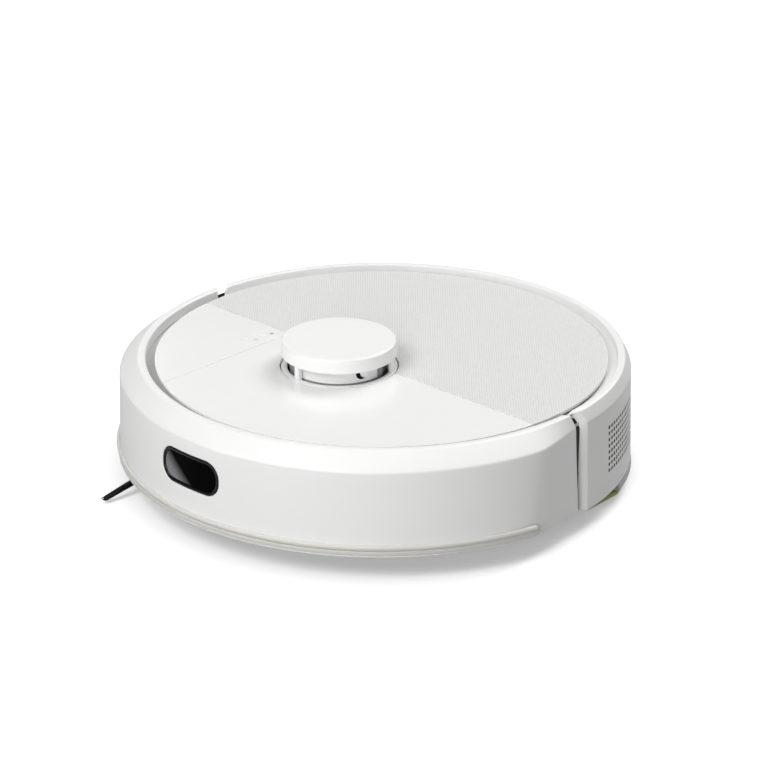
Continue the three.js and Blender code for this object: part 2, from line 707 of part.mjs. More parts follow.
function lidarCap() {
  const inner = CAP_R - CAP_WALL;
  const shell = revolve([
    [0, CAP_TOP_Z - CAP_WALL],
    [inner, CAP_TOP_Z - CAP_WALL],
    [inner, CAP_SKIRT_Z],
    [CAP_R, CAP_SKIRT_Z],
    [CAP_R, CAP_TOP_Z - 2.2],
    [CAP_R - 0.7, CAP_TOP_Z - 0.7],
    [CAP_R - 2.4, CAP_TOP_Z],
    [0, CAP_TOP_Z],
  ], MEDIUM);
  const foot = ring(CENTRE, DRUM_R + 5, CAP_R - 0.8, [COVER_Z - 3.4, COVER_Z - 0.5]);
  const leg = (angle) => {
    const length = [BASE_TOP + CAP_TRAVEL + GAP, CAP_SKIRT_Z + 2];
    const geometry = new THREE.BoxGeometry(2.8, 5, length[1] - length[0]);
    geometry.translate(CAP_R - 2.6, 0, (length[0] + length[1]) / 2);
    geometry.rotateZ(THREE.MathUtils.degToRad(angle));
    return solid(geometry);
  };
  return piece('lidar_cap', union(shell, foot, ...POST_ANGLES.map(leg)), whiteShell);
}

function lidarDrum() {
  const bore = SPINDLE_R + GAP;
  const boreTop = TRACK_Z[1] + 5 + GAP;
  const body = revolve([
    [bore, TRACK_Z[0]],
    [TRACK_R, TRACK_Z[0]],
    [TRACK_R, TRACK_Z[1]],
    [DRUM_R, TRACK_Z[1] + 1],
    [DRUM_R, DRUM_TOP_Z - 1],
    [DRUM_R - 1, DRUM_TOP_Z],
    [0, DRUM_TOP_Z],
    [0, boreTop],
    [bore, boreTop],
    [bore, TRACK_Z[0]],
  ], MEDIUM);
  const port = (x, radius) => rodY(x, [-FAR, -DRUM_R / 2], COVER_Z + 3, radius);
  return piece('lidar_drum', body.subtract(port(-7, 3)).subtract(port(7, 4.2)), greyPlastic);
}

function lidarBase() {
  const plate = disc(CENTRE, BASE_R, [BASE_Z, BASE_TOP]);
  const rim = ring(CENTRE, BASE_R - RIB, BASE_R, [BASE_TOP - BITE, DECK_UNDER - GAP]);
  const spindle = disc(CENTRE, SPINDLE_R, [BASE_TOP - BITE, TRACK_Z[1] + 5], MEDIUM);
  const shaftHole = disc([-PULLEY_REACH, 0], SHAFT_R + GAP, [0, FAR], SMALL);
  return piece('lidar_base', union(plate, rim, spindle).subtract(shaftHole), darkPlastic);
}

function lidarMotor() {
  const can = disc([-PULLEY_REACH, 0], 8, [BASE_Z - 14, BASE_Z - GAP], SMALL);
  const shaft = disc([-PULLEY_REACH, 0], SHAFT_R, [BASE_Z - GAP - BITE, TRACK_Z[1] - 0.5], SMALL);
  return piece('lidar_motor', union(can, shaft), steel);
}

function lidarPulley() {
  const wheel = ring(CENTRE, SHAFT_R + GAP, PULLEY_R, TRACK_Z, SMALL);
  return piece('lidar_pulley', wheel, greyPlastic, [-PULLEY_REACH, 0, 0]);
}

function lidarBelt() {
  const [low, high] = [TRACK_Z[0] + 0.5, TRACK_Z[1] - 0.6];
  const loop = (extra, zs) => prism(
    teardrop(CENTRE, TRACK_R + extra, [-PULLEY_REACH, 0], PULLEY_R + extra, 24), zs,
  );
  const belt = loop(GAP + BELT_THICK, [low, high]).subtract(loop(GAP, [low - 1, high + 1]));
  return piece('lidar_belt', belt, blackRubber);
}

function laserTurret() {
  return group([...TURRET, 0], lidarCap(), lidarDrum(), lidarBase(), lidarMotor(), lidarPulley(), lidarBelt());
}

// ---------------------------------------------------------------- drive wheels

// Each piece is placed about the wheel's own axis; side is 1 on the robot's left and -1 on its right.
function wheelTyre(side, name) {
  const half = WHEEL_WIDTH / 2;
  const inner = WHEEL_R - TYRE_THICK;
  const tyre = revolve([
    [inner + GAP, -half], [WHEEL_R - 1.2, -half], [WHEEL_R, -half + 1.5],
    [WHEEL_R, half - 1.5], [WHEEL_R - 1.2, half], [inner + GAP, half], [inner + GAP, -half],
  ], MEDIUM);
  return turned(piece(`${name}_tyre`, tyre, blackRubber, [side * WHEEL_X, 0, 0]));
}

// Lays a piece that was turned about Z down so that its axis runs along X.
function turned(mesh) {
  mesh.rotation.y = Math.PI / 2;
  return mesh;
}

function wheelHub(side, name) {
  const half = WHEEL_WIDTH / 2;
  const outerR = WHEEL_R - TYRE_THICK;
  const towards = (z) => side * z;
  const hub = revolve([
    [0, towards(-half)], [outerR, towards(-half)], [outerR, towards(half - 1)],
    [outerR - 3, towards(half - 1)], [outerR - 4, towards(half - 5)], [8, towards(half - 5)],
    [7, towards(half - 1)], [0, towards(half - 1)],
  ], MEDIUM);
  const stub = disc(CENTRE, AXLE_R, side > 0 ? [-half - 11, -half + 1] : [half - 1, half + 11], SMALL);
  return turned(piece(`${name}_hub`, union(hub, stub), greyPlastic, [side * WHEEL_X, 0, 0]));
}

function swingArm(side, name) {
  const xs = ARM_X.map((x) => side * x);
  const pivot = [PIVOT_Y - WHEEL_Y, PIVOT_Z - WHEEL_R];
  const plate = prismX(teardrop([0, 0], ARM_R, pivot, 8), xs);
  const saddle = block(xs, [pivot[0] + 12, -12], [5, ARM_R]);
  const axleBore = rodX([side * (WHEEL_X - WHEEL_WIDTH / 2 - 12), side * FAR], 0, 0, AXLE_R + GAP);
  const pinBore = rodX([0, side * FAR], ...pivot, PIVOT_PIN_R + GAP);
  return piece(`${name}_arm`, union(plate, saddle).subtract(axleBore).subtract(pinBore), darkPlastic);
}

function wheelMotor(side, name) {
  const x = (side * (ARM_X[0] + ARM_X[1])) / 2;
  const radius = ARM_WIDTH / 2;
  const height = ARM_R + GAP + radius;
  const front = PIVOT_Y - WHEEL_Y + 8;
  const motor = union(rodY(x, [front, -10], height, radius), rodY(x, [-10 - BITE, -7], height, 3));
  return piece(`${name}_motor`, motor, steel);
}

function pivotPin(side, name) {
  const xs = [side * (WELL_X[0] - RIB), side * (ARM_X[1] + 4.2)];
  return piece(`${name}_pivot_pin`, rodX(xs, PIVOT_Y - WHEEL_Y, PIVOT_Z - WHEEL_R, PIVOT_PIN_R), steel);
}

function suspensionSpring(side, name) {
  const geometry = coil(5, 0.7, [ARM_R + GAP, DECK_UNDER - WHEEL_R - GAP], 4);
  return piece(`${name}_spring`, geometry, steel, [(side * (ARM_X[0] + ARM_X[1])) / 2, 0, 0]);
}

function driveWheel(side, name) {
  const makers = [wheelTyre, wheelHub, swingArm, wheelMotor, pivotPin, suspensionSpring];
  return group([0, WHEEL_Y, WHEEL_R], ...makers.map((make) => make(side, name)));
}

// ---------------------------------------------------------------- caster

function caster() {
  const half = CASTER_WIDTH / 2;
  const slot = block([-half - 1, half + 1], [CASTER_TRAIL - CASTER_R - 1.5, FAR], [-1, 2 * CASTER_R + 1.5]);
  const dome = disc(CENTRE, CASTER_CUP_R - 0.5, [CASTER_R + 1.5, CASTER_ROOF_Z - RIB]);
  const ears = block(
    [-half - 4, half + 4], [CASTER_TRAIL - 5, CASTER_TRAIL + 5], [CASTER_R - 4, CASTER_R + 3],
  );
  const stem = disc(CENTRE, CASTER_STEM_R, [CASTER_ROOF_Z - RIB - BITE, CASTER_ROOF_Z + RIB + 5], SMALL);
  const bore = rodX([-FAR, FAR], CASTER_TRAIL, CASTER_R, CASTER_AXLE_R + GAP);
  const wheel = rodX([-half, half], CASTER_TRAIL, CASTER_R, CASTER_R, MEDIUM);
  const axle = rodX([-half - 3.8, half + 3.8], CASTER_TRAIL, CASTER_R, CASTER_AXLE_R);
  return group(
    [0, CASTER_Y, 0],
    piece('caster_fork', union(dome, ears, stem).subtract(slot).subtract(bore), darkPlastic),
    piece('caster_wheel', wheel.subtract(bore), blackRubber),
    piece('caster_axle', axle, steel),
  );
}

// ---------------------------------------------------------------- main brush

function mainBrush() {
  const outline = [];
  const fins = 6;
  for (let i = 0; i < fins; i += 1) {
    const heading = (2 * Math.PI * i) / fins;
    const half = Math.atan(1.3 / BRUSH_R);
    const root = Math.PI / fins;
    for (const [radius, angle] of [
      [BRUSH_R, heading - half], [BRUSH_R, heading + half],
      [BRUSH_CORE_R + 1.5, heading + 0.2], [BRUSH_CORE_R + 0.5, heading + root],
      [BRUSH_CORE_R + 1.5, heading + 2 * root - 0.2],
    ]) {
      outline.push([radius * Math.cos(angle), radius * Math.sin(angle)]);
    }
  }
  const edges = [-BRUSH_HALF + 1, ...BRUSH_NOTCHES, BRUSH_HALF - 1];
  const core = rodX([-BRUSH_HALF, BRUSH_HALF], 0, 0, BRUSH_CORE_R);
  const journal = rodX([-BRUSH_HALF - 5, BRUSH_HALF + 3], 0, 0, AXLE_R);
  let brush = union(core, journal);
  for (let i = 0; i + 1 < edges.length; i += 1) {
    const from = edges[i] + (i === 0 ? 0 : BRUSH_NOTCH_WIDTH / 2);
    const to = edges[i + 1] - (i + 2 === edges.length ? 0 : BRUSH_NOTCH_WIDTH / 2);
    brush = brush.add(prismX(outline, [from, to]));
  }
  return piece('main_brush', brush, blackRubber, [0, BRUSH_Y, BRUSH_Z]);
}

// The suction tunnel over the brush, placed about the brush's axis.
function brushHood() {
  const foot = PAN_TOP + GAP - BRUSH_Z;
  const [low, high] = INLET_Z.map((z) => z - BRUSH_Z);
  const arch = rodX([-HOOD_END - RIB, HOOD_END + RIB], 0, 0, HOOD_R + RIB, MEDIUM);
  const duct = block(
    [-INLET_X - RIB, INLET_X + RIB], [0, BAY_Y[0] - BRUSH_Y - GAP], [low - RIB, high + RIB],
  );
  const flange = block([-HOOD_END - RIB, HOOD_END + RIB], [-HOOD_R - 5, HOOD_R + 5], [foot, foot + RIB]);
  const tunnel = rodX([-HOOD_END, HOOD_END], 0, 0, HOOD_R, MEDIUM);
  const outlet = block([-INLET_X, INLET_X], [0, FAR], [low, high]);
  const shape = union(arch, duct, flange)
    .subtract(tunnel)
    .subtract(outlet)
    .subtract(rodX([-FAR, FAR], 0, 0, AXLE_R + GAP))
    .subtract(block([-FAR, FAR], [-FAR, FAR], [-FAR, foot]));
  return piece('brush_hood', shape, darkPlastic, [0, BRUSH_Y, BRUSH_Z]);
}

function brushGuard() {
  const zs = [PAN_Z - GAP - 2.3, PAN_Z - GAP];
  const frame = block([-MOUTH_X - 8, MOUTH_X + 8], [-MOUTH_Y - 6, MOUTH_Y + 6], zs);
  const window = block([-MOUTH_X + 1, MOUTH_X - 1], [-MOUTH_Y, MOUTH_Y], [-1, 20]);
  let guard = frame.subtract(window);
  for (const x of BRUSH_NOTCHES) {
    guard = guard.add(block([x - 1.2, x + 1.2], [-MOUTH_Y - 1, MOUTH_Y + 1], zs));
  }
  return piece('brush_guard', guard, greyPlastic, [0, BRUSH_Y, 0]);
}

function brushDrive() {
  const wall = HOOD_END + RIB + GAP;
  const motorR = 9;
  const bore = rodX([-FAR, 0], BRUSH_Y, BRUSH_Z, AXLE_R + GAP);
  const ys = [WELL_Y[1] + RIB + GAP, BRUSH_Y + 14];
  const box = block([-wall - 12, -wall], ys, [PAN_TOP + GAP, DECK_UNDER - 1.8]).subtract(bore);
  const motor = rodX([-wall - BITE, -wall + 38], BRUSH_Y, DECK_UNDER - motorR - 1, motorR);
  return piece('brush_gearmotor', union(box, motor), greyPlastic);
}

// ---------------------------------------------------------------- side brush

function sideBrush() {
  const hubTop = PAN_Z - 1;
  const hub = union(
    disc(CENTRE, SIDE_HUB_R, [hubTop - 4.6, hubTop], SMALL),
    disc(CENTRE, SIDE_HUB_R / 2, [hubTop - BITE, PAN_TOP + 3], SMALL),
  );
  const carrier = ring(CENTRE, SIDE_HUB_R + GAP, SIDE_HUB_R + 5, [hubTop - 4, hubTop - 0.4], SMALL);
  const arm = (angle) => {
    const at = (radius, height) => new THREE.Vector3(...around(angle, radius), height);
    const root = at(SIDE_HUB_R + 2.5, hubTop - 2.2);
    const tip = at(SIDE_BRUSH_REACH, SIDE_BRUSH_TIP_Z);
    const extrudePath = new THREE.QuadraticBezierCurve3(root, at(SIDE_BRUSH_REACH * 0.6, 7.5), tip);
    const section = new THREE.Shape(Array.from({ length: 6 }, (_, i) => {
      const turn = (2 * Math.PI * i) / 6;
      return new THREE.Vector2(1.2 * Math.cos(turn), 1.7 * Math.sin(turn));
    }));
    return solid(new THREE.ExtrudeGeometry(section, { extrudePath, steps: 6 }));
  };
  const can = disc(CENTRE, 13, [PAN_TOP + 3.3, BOARD_Z + 2], SMALL);
  const neck = disc(CENTRE, 8, [PAN_TOP + GAP, PAN_TOP + 3.3 + BITE], SMALL);
  const socket = disc(CENTRE, SIDE_HUB_R / 2 + GAP, [0, PAN_TOP + 3.3], SMALL);
  return group(
    [...SIDE_BRUSH, 0],
    piece('side_brush_hub', hub, greyPlastic),
    piece('side_brush_bristles', union(carrier, ...SIDE_BRUSH_ANGLES.map(arm)), blackRubber),
    piece('side_brush_motor', union(can, neck).subtract(socket), steel),
  );
}

// ---------------------------------------------------------------- dust bin and its bay

// The middle of the fan's intake, in Y and Z, off the fan's axis and facing the bin's filter.
function fanEye() {
  return [FAN_Y + 8, FAN_Z + 4];
}

function binBay() {
  const outer = block([-BAY_X - RIB, BAY_X + RIB], BAY_Y, [BAY_FLOOR_Z, DECK_UNDER - GAP]);
  const room = block([-BAY_X, BAY_X], [BAY_Y[0] + RIB, FAR], [BAY_FLOOR_Z + RIB, FAR]);
  const inlet = block([-INLET_X, INLET_X], [0, BAY_Y[0] + 2 * RIB], INLET_Z);
  const fanHole = rodX([BIN_SIDE, FAN_X[0]], ...fanEye(), FAN_EYE_R);
  return piece('bin_bay', outer.subtract(room).subtract(inlet).subtract(fanHole), darkPlastic);
}

function dustBin() {
  const outer = disc(CENTRE, BIN_REAR_R, [BIN_FLOOR_Z, BIN_TOP_Z], ROUND)
    .intersect(block([-BIN_SIDE, BIN_SIDE], [BIN_FRONT_Y, FAR], [0, FAR]));
  const inside = disc(CENTRE, BIN_REAR_R - RIB, [BIN_FLOOR_Z + RIB, FAR], ROUND)
    .intersect(block([-BIN_SIDE + RIB, BIN_SIDE - RIB], [BIN_FRONT_Y + RIB, FAR], [0, FAR]));
  const inlet = block(
    [-INLET_X + 3, INLET_X - 3], [0, BIN_FRONT_Y + 2 * RIB], [INLET_Z[0] + 1, INLET_Z[1] - 1],
  );
  const filterHole = block([BIN_SIDE - RIB - 1, FAR], [FAN_Y, FAN_Y + 16], [FAN_Z - 6, FAN_Z + 14]);
  return piece('dust_bin', outer.subtract(inside).subtract(inlet).subtract(filterHole), smokePlastic);
}

function binLid() {
  const zs = [BIN_TOP_Z + GAP, BIN_TOP_Z + GAP + RIB];
  const plate = disc(CENTRE, BIN_REAR_R, zs, ROUND)
    .intersect(block([-BIN_SIDE, BIN_SIDE], [BIN_FRONT_Y, FAR], [0, FAR]));
  return piece('bin_lid', plate, darkPlastic);
}

function binFilter() {
  const pleats = [];
  const [y0, y1] = [FAN_Y - 3, FAN_Y + 19];
  const wall = BIN_SIDE - RIB - GAP;
  const frame = block([wall - 3, wall], [y0, y1], [FAN_Z - 9, FAN_Z + 17]);
  for (let y = y0 + 1; y < y1 - 1; y += 3) {
    pleats.push(block([wall - 8, wall - 2.9], [y, y + 1.5], [FAN_Z - 8, FAN_Z + 16]));
  }
  return piece('bin_filter', union(frame, ...pleats), filterPaper);
}

function binFace() {
  const half = BAY_X - GAP - FACE_GAP;
  const zs = [BAY_FLOOR_Z + GAP, FACE_TOP_Z];
  const slab = ring(CENTRE, BIN_REAR_R + GAP, SHELL_R, zs, ROUND);
  const body = slab.intersect(block([-half, half], [TANK_Y, FAR], [0, FAR]));
  const hollow = disc(CENTRE, SHELL_R - SKIN, [zs[0] + RIB, zs[1] - RIB], ROUND)
    .intersect(block([-half + SKIN, half - SKIN], [TANK_Y, FAR], [0, FAR]));
  const keyhole = block([-RELEASE_HALF, RELEASE_HALF], [TANK_Y, FAR], RELEASE_Z);
  return piece('bin_face', body.subtract(hollow).subtract(keyhole), whiteShell);
}

function binRelease() {
  const zs = [RELEASE_Z[0] + GAP, RELEASE_Z[1] - GAP];
  const key = ring(CENTRE, BIN_REAR_R + RELEASE_TRAVEL + 1, SHELL_R - GAP, zs, ROUND)
    .intersect(block([-RELEASE_HALF + GAP, RELEASE_HALF - GAP], [TANK_Y, FAR], [0, FAR]));
  return piece('bin_release', key, greyPlastic);
}

// ---------------------------------------------------------------- suction fan

// A volute beside the bin: it breathes in through the bin's filter and out behind the vent grid.
function fanHousing() {
  const ductY = [FAN_Y - FAN_R - 17, FAN_Y - FAN_R + 3];
  const ductZ = [FAN_Z - 14, FAN_Z + 14];
  const shell = union(
    rodX(FAN_X, FAN_Y, FAN_Z, FAN_R, MEDIUM),
    rodX([BAY_X + RIB + GAP, FAN_X[0] + 1], ...fanEye(), FAN_EYE_R + RIB),
    block([FAN_X[1] - 20, DUCT_END_X], ductY, ductZ),
  );
  const chamber = union(
    rodX([FAN_X[0] + RIB, FAN_X[1] - RIB], FAN_Y, FAN_Z, FAN_R - RIB, MEDIUM),
    block([FAN_X[1] - 16, FAR], [ductY[0] + RIB, ductY[1] - RIB], [ductZ[0] + RIB, ductZ[1] - RIB]),
  );
  const shape = shell
    .subtract(chamber)
    .subtract(rodX([BAY_X, FAN_X[0] + 5], ...fanEye(), FAN_EYE_R))
    .subtract(rodX([FAN_X[1] - 5, FAN_X[1] + 5], FAN_Y, FAN_Z, SHAFT_R + GAP));
  return piece('fan_housing', shape, darkPlastic);
}

function fanMotor() {
  const can = rodX([FAN_X[1] + GAP, FAN_X[1] + FAN_CAN[1]], FAN_Y, FAN_Z, FAN_CAN[0]);
  const shaft = rodX([FAN_X[0] + 8, FAN_X[1] + GAP + BITE], FAN_Y, FAN_Z, SHAFT_R);
  return piece('fan_motor', union(can, shaft), steel);
}

function fanImpeller() {
  const blades = Array.from({ length: 9 }, (_, i) => {
    const geometry = new THREE.BoxGeometry(12, 12, 1.4);
    geometry.translate(FAN_X[0] + 14, 13, 0);
    geometry.rotateX((2 * Math.PI * i) / 9);
    return solid(geometry);
  });
  const plate = rodX([FAN_X[0] + 19, FAN_X[0] + 22], 0, 0, FAN_R - 5, MEDIUM);
  const boss = rodX([FAN_X[0] + 8, FAN_X[0] + 19 + BITE], 0, 0, 7.5);
  const shape = union(plate, boss, ...blades).subtract(rodX([0, FAR], 0, 0, SHAFT_R + GAP));
  return piece('fan_impeller', shape, greyPlastic, [0, FAN_Y, FAN_Z]);
}

// ---------------------------------------------------------------- battery and board

function batteryOpening(inset) {
  const half = BATTERY_X + RIB - inset;
  return block([-half, half], [BATTERY_Y[0] - RIB + inset, BATTERY_Y[1] + RIB - inset], [-1, 20]);
}

function batteryPieces() {
  const [y0, y1] = BATTERY_Y;
  const base = PAN_TOP + GAP;
  const cells = Array.from({ length: 4 }, (_, i) => {
    const x = (i - 1.5) * (BATTERY_X / 2) * 0.96;
    return rodY(x, BATTERY_Y, base + BATTERY_HEIGHT / 2, BATTERY_HEIGHT / 2);
  });
  const board = block([-BATTERY_X + 4, BATTERY_X - 4], [y0 + 4, y1 - 4], [base + 6, base + 15]);
  const door = block([-FAR, FAR], [-FAR, FAR], [PAN_Z, PAN_TOP - 0.2]).intersect(batteryOpening(GAP));
  return [
    piece('battery_pack', union(board, ...cells), cellWrap),
    piece('battery_door', door, darkPlastic),
  ];
}

function mainBoard() {
  const plate = block([-64, 64], [-92, -24], [BOARD_Z, BOARD_Z + 1.6]);
  const chips = [
    [[-20, -2], [-60, -42], 3],
    [[14, 26], [-56, -44], 2],
    [[36, 56], [-84, -72], 5],
    [[-50, -36], [-84, -74], 4],
  ].map(([xs, ys, height]) => block(xs, ys, [BOARD_Z + 1.6 - BITE, BOARD_Z + 1.6 + height]));
  return piece('main_board', union(plate, ...chips), boardGreen);
}

// ---------------------------------------------------------------- mop module

function behind(y) {
  return block([-FAR, FAR], [y, FAR], [-1, FAR]);
}

// The raised tub under the dust bin bay, set inwards by an inset.
function tankTub(inset, zs) {
  const half = BAY_X - GAP - 0.6 - inset;
  return disc(CENTRE, SHELL_R - 0.6 - inset, zs, ROUND)
    .intersect(block([-half, half], [TANK_Y + inset, FAR], [-1, FAR]));
}

function waterTank() {
  const flange = disc(CENTRE, SHELL_R, [FLANGE_Z, FLANGE_Z + FLANGE_THICK], ROUND);
  const skirt = ring(CENTRE, CORE_R + 2 * GAP, SHELL_R, [FLANGE_Z, SHELL_FOOT_Z - GAP], ROUND);
  const tubTop = BAY_FLOOR_Z - 0.5;
  const filler = disc([BAY_X / 2, TANK_Y + 34], 7, [tubTop - 5, FAR], SMALL);
  const shape = union(
    flange.intersect(behind(TANK_Y - 6)),
    skirt.intersect(behind(TANK_Y - 14)),
    tankTub(0, [FLANGE_Z, tubTop]),
  );
  return piece(
    'water_tank', shape.subtract(tankTub(RIB, [FLANGE_Z + RIB, tubTop - RIB])).subtract(filler), smokePlastic,
  );
}

// The outline of a side wing: distance in from the rear shell's outside, and Y from the main brush.
const WING_OUTLINE = [
  [26, -16], [21, -19], [14.5, -18.5], [13.1, -12], [12.7, -2], [13.1, 8.5], [14.1, 13.8], [17.7, 20.7],
  [24, 30], [31, 40], [53, 40], [41, 28], [31, 2],
];
const WING_RAISED = [...WING_OUTLINE.slice(0, 8), [28, 20]];

function mopPlate() {
  const zs = [MOP_PLATE_Z, MOP_PLATE_Z + MOP_PLATE_THICK];
  let plate = disc(CENTRE, SHELL_R - 7, zs, ROUND).intersect(behind(TANK_Y - 4));
  for (const side of [1, -1]) {
    const place = ([inset, y]) => [side * (SHELL_R - inset), BRUSH_Y + y];
    plate = plate.add(prism(WING_OUTLINE.map(place), zs));
    plate = plate.add(prism(WING_RAISED.map(place), [MOP_PLATE_Z, MOP_PLATE_Z + WING_HEIGHT]));
  }
  return piece('mop_plate', plate, mopGreen);
}

function mopPad() {
  const half = SHELL_R - 47;
  const pad = disc(CENTRE, SHELL_R - 13, [0, PAD_THICK], ROUND)
    .intersect(block([-half, half], [TANK_Y + 2, FAR], [-1, FAR]));
  return piece('mop_pad', pad, padCloth);
}

// ---------------------------------------------------------------- assembly

export default group(
  [0, BODY_Y, 0],
  frontBumper(),
  bumperStrip(),
  bumperWindow(),
  rearShell(),
  frontCover(),
  controlPanel(),
  rearCover(),
  controlKey('home_button', 0),
  controlKey('power_button', 1),
  topDeck(),
  basePan(),
  ...contactsAndLenses(),
  bumperSpring('bumper_spring_left', 1),
  bumperSpring('bumper_spring_right', -1),
  laserTurret(),
  driveWheel(1, 'left_wheel'),
  driveWheel(-1, 'right_wheel'),
  caster(),
  mainBrush(),
  brushHood(),
  brushGuard(),
  brushDrive(),
  sideBrush(),
  binBay(),
  dustBin(),
  binLid(),
  binFilter(),
  binFace(),
  binRelease(),
  fanHousing(),
  fanMotor(),
  fanImpeller(),
  ...batteryPieces(),
  mainBoard(),
  waterTank(),
  mopPlate(),
  mopPad(),
);
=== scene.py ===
"""Robot vacuum: the visual model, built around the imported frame.

Lengths are millimetres in the body's own axes (the centre of the round covers, front at -Y) until a
piece is handed over, and metres in the part's frame after that.
"""

import json
import math

import bmesh
import bpy
import numpy as np
from mathutils import Matrix, Vector


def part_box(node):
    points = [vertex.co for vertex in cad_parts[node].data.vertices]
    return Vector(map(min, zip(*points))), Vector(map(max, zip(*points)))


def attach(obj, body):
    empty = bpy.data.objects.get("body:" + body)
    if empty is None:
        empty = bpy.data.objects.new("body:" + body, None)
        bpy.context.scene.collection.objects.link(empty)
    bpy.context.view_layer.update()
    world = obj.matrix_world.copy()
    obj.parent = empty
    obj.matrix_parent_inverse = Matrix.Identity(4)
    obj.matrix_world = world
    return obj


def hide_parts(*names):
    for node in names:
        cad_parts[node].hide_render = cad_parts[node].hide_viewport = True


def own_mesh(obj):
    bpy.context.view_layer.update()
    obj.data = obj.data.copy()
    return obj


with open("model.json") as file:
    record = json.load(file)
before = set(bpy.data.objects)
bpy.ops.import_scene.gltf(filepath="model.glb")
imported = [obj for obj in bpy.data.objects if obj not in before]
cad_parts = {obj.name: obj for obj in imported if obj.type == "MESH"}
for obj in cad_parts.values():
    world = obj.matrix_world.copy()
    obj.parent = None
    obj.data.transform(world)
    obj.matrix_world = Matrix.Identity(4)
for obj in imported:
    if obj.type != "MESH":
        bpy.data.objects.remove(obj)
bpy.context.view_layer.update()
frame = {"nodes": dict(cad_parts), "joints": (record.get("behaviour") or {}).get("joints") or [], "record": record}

MM = 0.001
TURN = 2 * math.pi


# ---------------------------------------------------------------- places read from the frame

def span(node):
    """A node's lowest and highest corners in body millimetres, as two arrays."""
    low, high = (np.array(corner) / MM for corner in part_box(node))
    return low - SHIFT, high - SHIFT


SHIFT = np.zeros(3)
SHIFT[1] = sum(span("top_deck")[i][1] for i in (0, 1)) / 2     # body axis to part origin

COVER_R = span("rear_cover")[1][0]
COVER_Z = span("rear_cover")[1][2]
COVER_THICK = COVER_Z - span("rear_cover")[0][2]
CREST_Z = span("front_bumper")[1][2]
RIM_R = 156.0                               # inside of the rim
CREST_R = span("top_deck")[1][0]            # outside of the crest, as the deck under it
SHELL_R = span("rear_shell")[1][1]
SKIN = 2.4                                  # thickness of the outer walls
GAP = 0.3                                   # between neighbours that don't touch

BUMPER_R = CREST_R + 12.4                   # the wall at its shoulder
BUMPER_SHOULDER_Z = COVER_Z - 7
BUMPER_FOOT_Z = span("front_bumper")[0][2]
BUMPER_DRAFT = 1.7                          # how much further out the wall's foot stands
FACET_FOOT = (BUMPER_R - 6.3, 0.0735)       # the flattened side's place at the body's axis, and its slope
FACET_SHOULDER = (BUMPER_R - 8.3, 0.183)
FACET_SOFTNESS = 8                          # how gently it meets the round wall, in square millimetres
SHOULDER_LIFT = 1.3                         # how much the shoulder climbs along the flattened side
LIFT_DEPTH = 8                              # how deep the side is cut where it climbs that much
LIFT_START_Z, LIFT_RISE = 50, 20            # where on the wall the climb starts, and over what height
END_SLOPE = 0.698                           # slant of the end faces, seen from above
END_SLANT = math.hypot(1, END_SLOPE)
END_GAP = 5.2                               # between the bumper's ends and the rear shell's
END_LINE = 2 - CREST_R * END_SLOPE          # where the bumper's end faces meet the middle line
REAR_LINE = END_LINE + END_GAP * END_SLANT
LIP_Z = COVER_Z - COVER_THICK - 3.2         # lower edge of the rim's inner wall

SHELL_SHOULDER_Z = COVER_Z - 5
SHELL_FOOT_Z = span("rear_shell")[0][2]
NOTCH_X, NOTCH_TOP_Z = span("bin_face")[1][[0, 2]] + 0.6      # the bin's opening in the rear shell

JOINT_PLACE = {
    joint["name"]: np.array(joint["pos_m"]) / MM - SHIFT for joint in frame["joints"] if "pos_m" in joint
}
TURRET = JOINT_PLACE["drum_spin"][:2]


# ---------------------------------------------------------------- colours and nodes

def srgb(code):
    """An sRGB hex colour as linear light, with full opacity."""
    parts = np.array([int(code[i:i + 2], 16) for i in (0, 2, 4)]) / 255
    light = np.where(parts <= 0.04045, parts / 12.92, ((parts + 0.055) / 1.055) ** 2.4)
    return (*light.tolist(), 1.0)


def add(tree, kind, inputs=None, **settings):
    """Adds a node, sets its properties, and fills or links its inputs."""
    made = tree.nodes.new(kind)
    for name, value in settings.items():
        setattr(made, name, value)
    for name, value in (inputs or {}).items():
        if isinstance(value, bpy.types.NodeSocket):
            tree.links.new(value, made.inputs[name])
        else:
            made.inputs[name].default_value = value
    return made


def new_material(name, **constants):
    """A material with a Principled shader whose own sockets hold the constants; returns the material,
    its tree, the shader and the object coordinates."""
    material = bpy.data.materials.new(name)
    material.use_nodes = True
    tree = material.node_tree
    tree.nodes.clear()
    shader = add(tree, "ShaderNodeBsdfPrincipled", constants)
    output = add(tree, "ShaderNodeOutputMaterial")
    tree.links.new(shader.outputs[0], output.inputs["Surface"])
    place = add(tree, "ShaderNodeTexCoord").outputs["Object"]
    return material, tree, shader, place


def per_mm(pitch):
    """Texture scale that gives one feature every pitch millimetres."""
    return 1 / (pitch * MM)


def dressed(tree, shader, colour, roughness, normal):
    """Links a shader's colour, roughness and normal."""
    for name, value in (("Base Color", colour), ("Roughness", roughness), ("Normal", normal)):
        tree.links.new(value, shader.inputs[name])


def noise(tree, place, pitch, detail=3.0, roughness=0.55):
    """Noise whose lumps are about pitch millimetres apart."""
    return add(tree, "ShaderNodeTexNoise", {
        "Vector": place, "Scale": per_mm(pitch), "Detail": detail, "Roughness": roughness,
    }).outputs["Fac"]


def ramp(tree, factor, low, high, from_low=0.0, from_high=1.0):
    """Maps a factor's range onto another range."""
    return add(tree, "ShaderNodeMapRange", {
        "Value": factor, "From Min": from_low, "From Max": from_high, "To Min": low, "To Max": high,
    }).outputs["Result"]


def colour_between(tree, factor, first, second):
    """Colour that runs from the first hex to the second as the factor rises."""
    made = tree.nodes.new("ShaderNodeMix")
    made.data_type = "RGBA"
    tree.links.new(factor, made.inputs[0])
    made.inputs[6].default_value = srgb(first)
    made.inputs[7].default_value = srgb(second)
    return made.outputs[2]


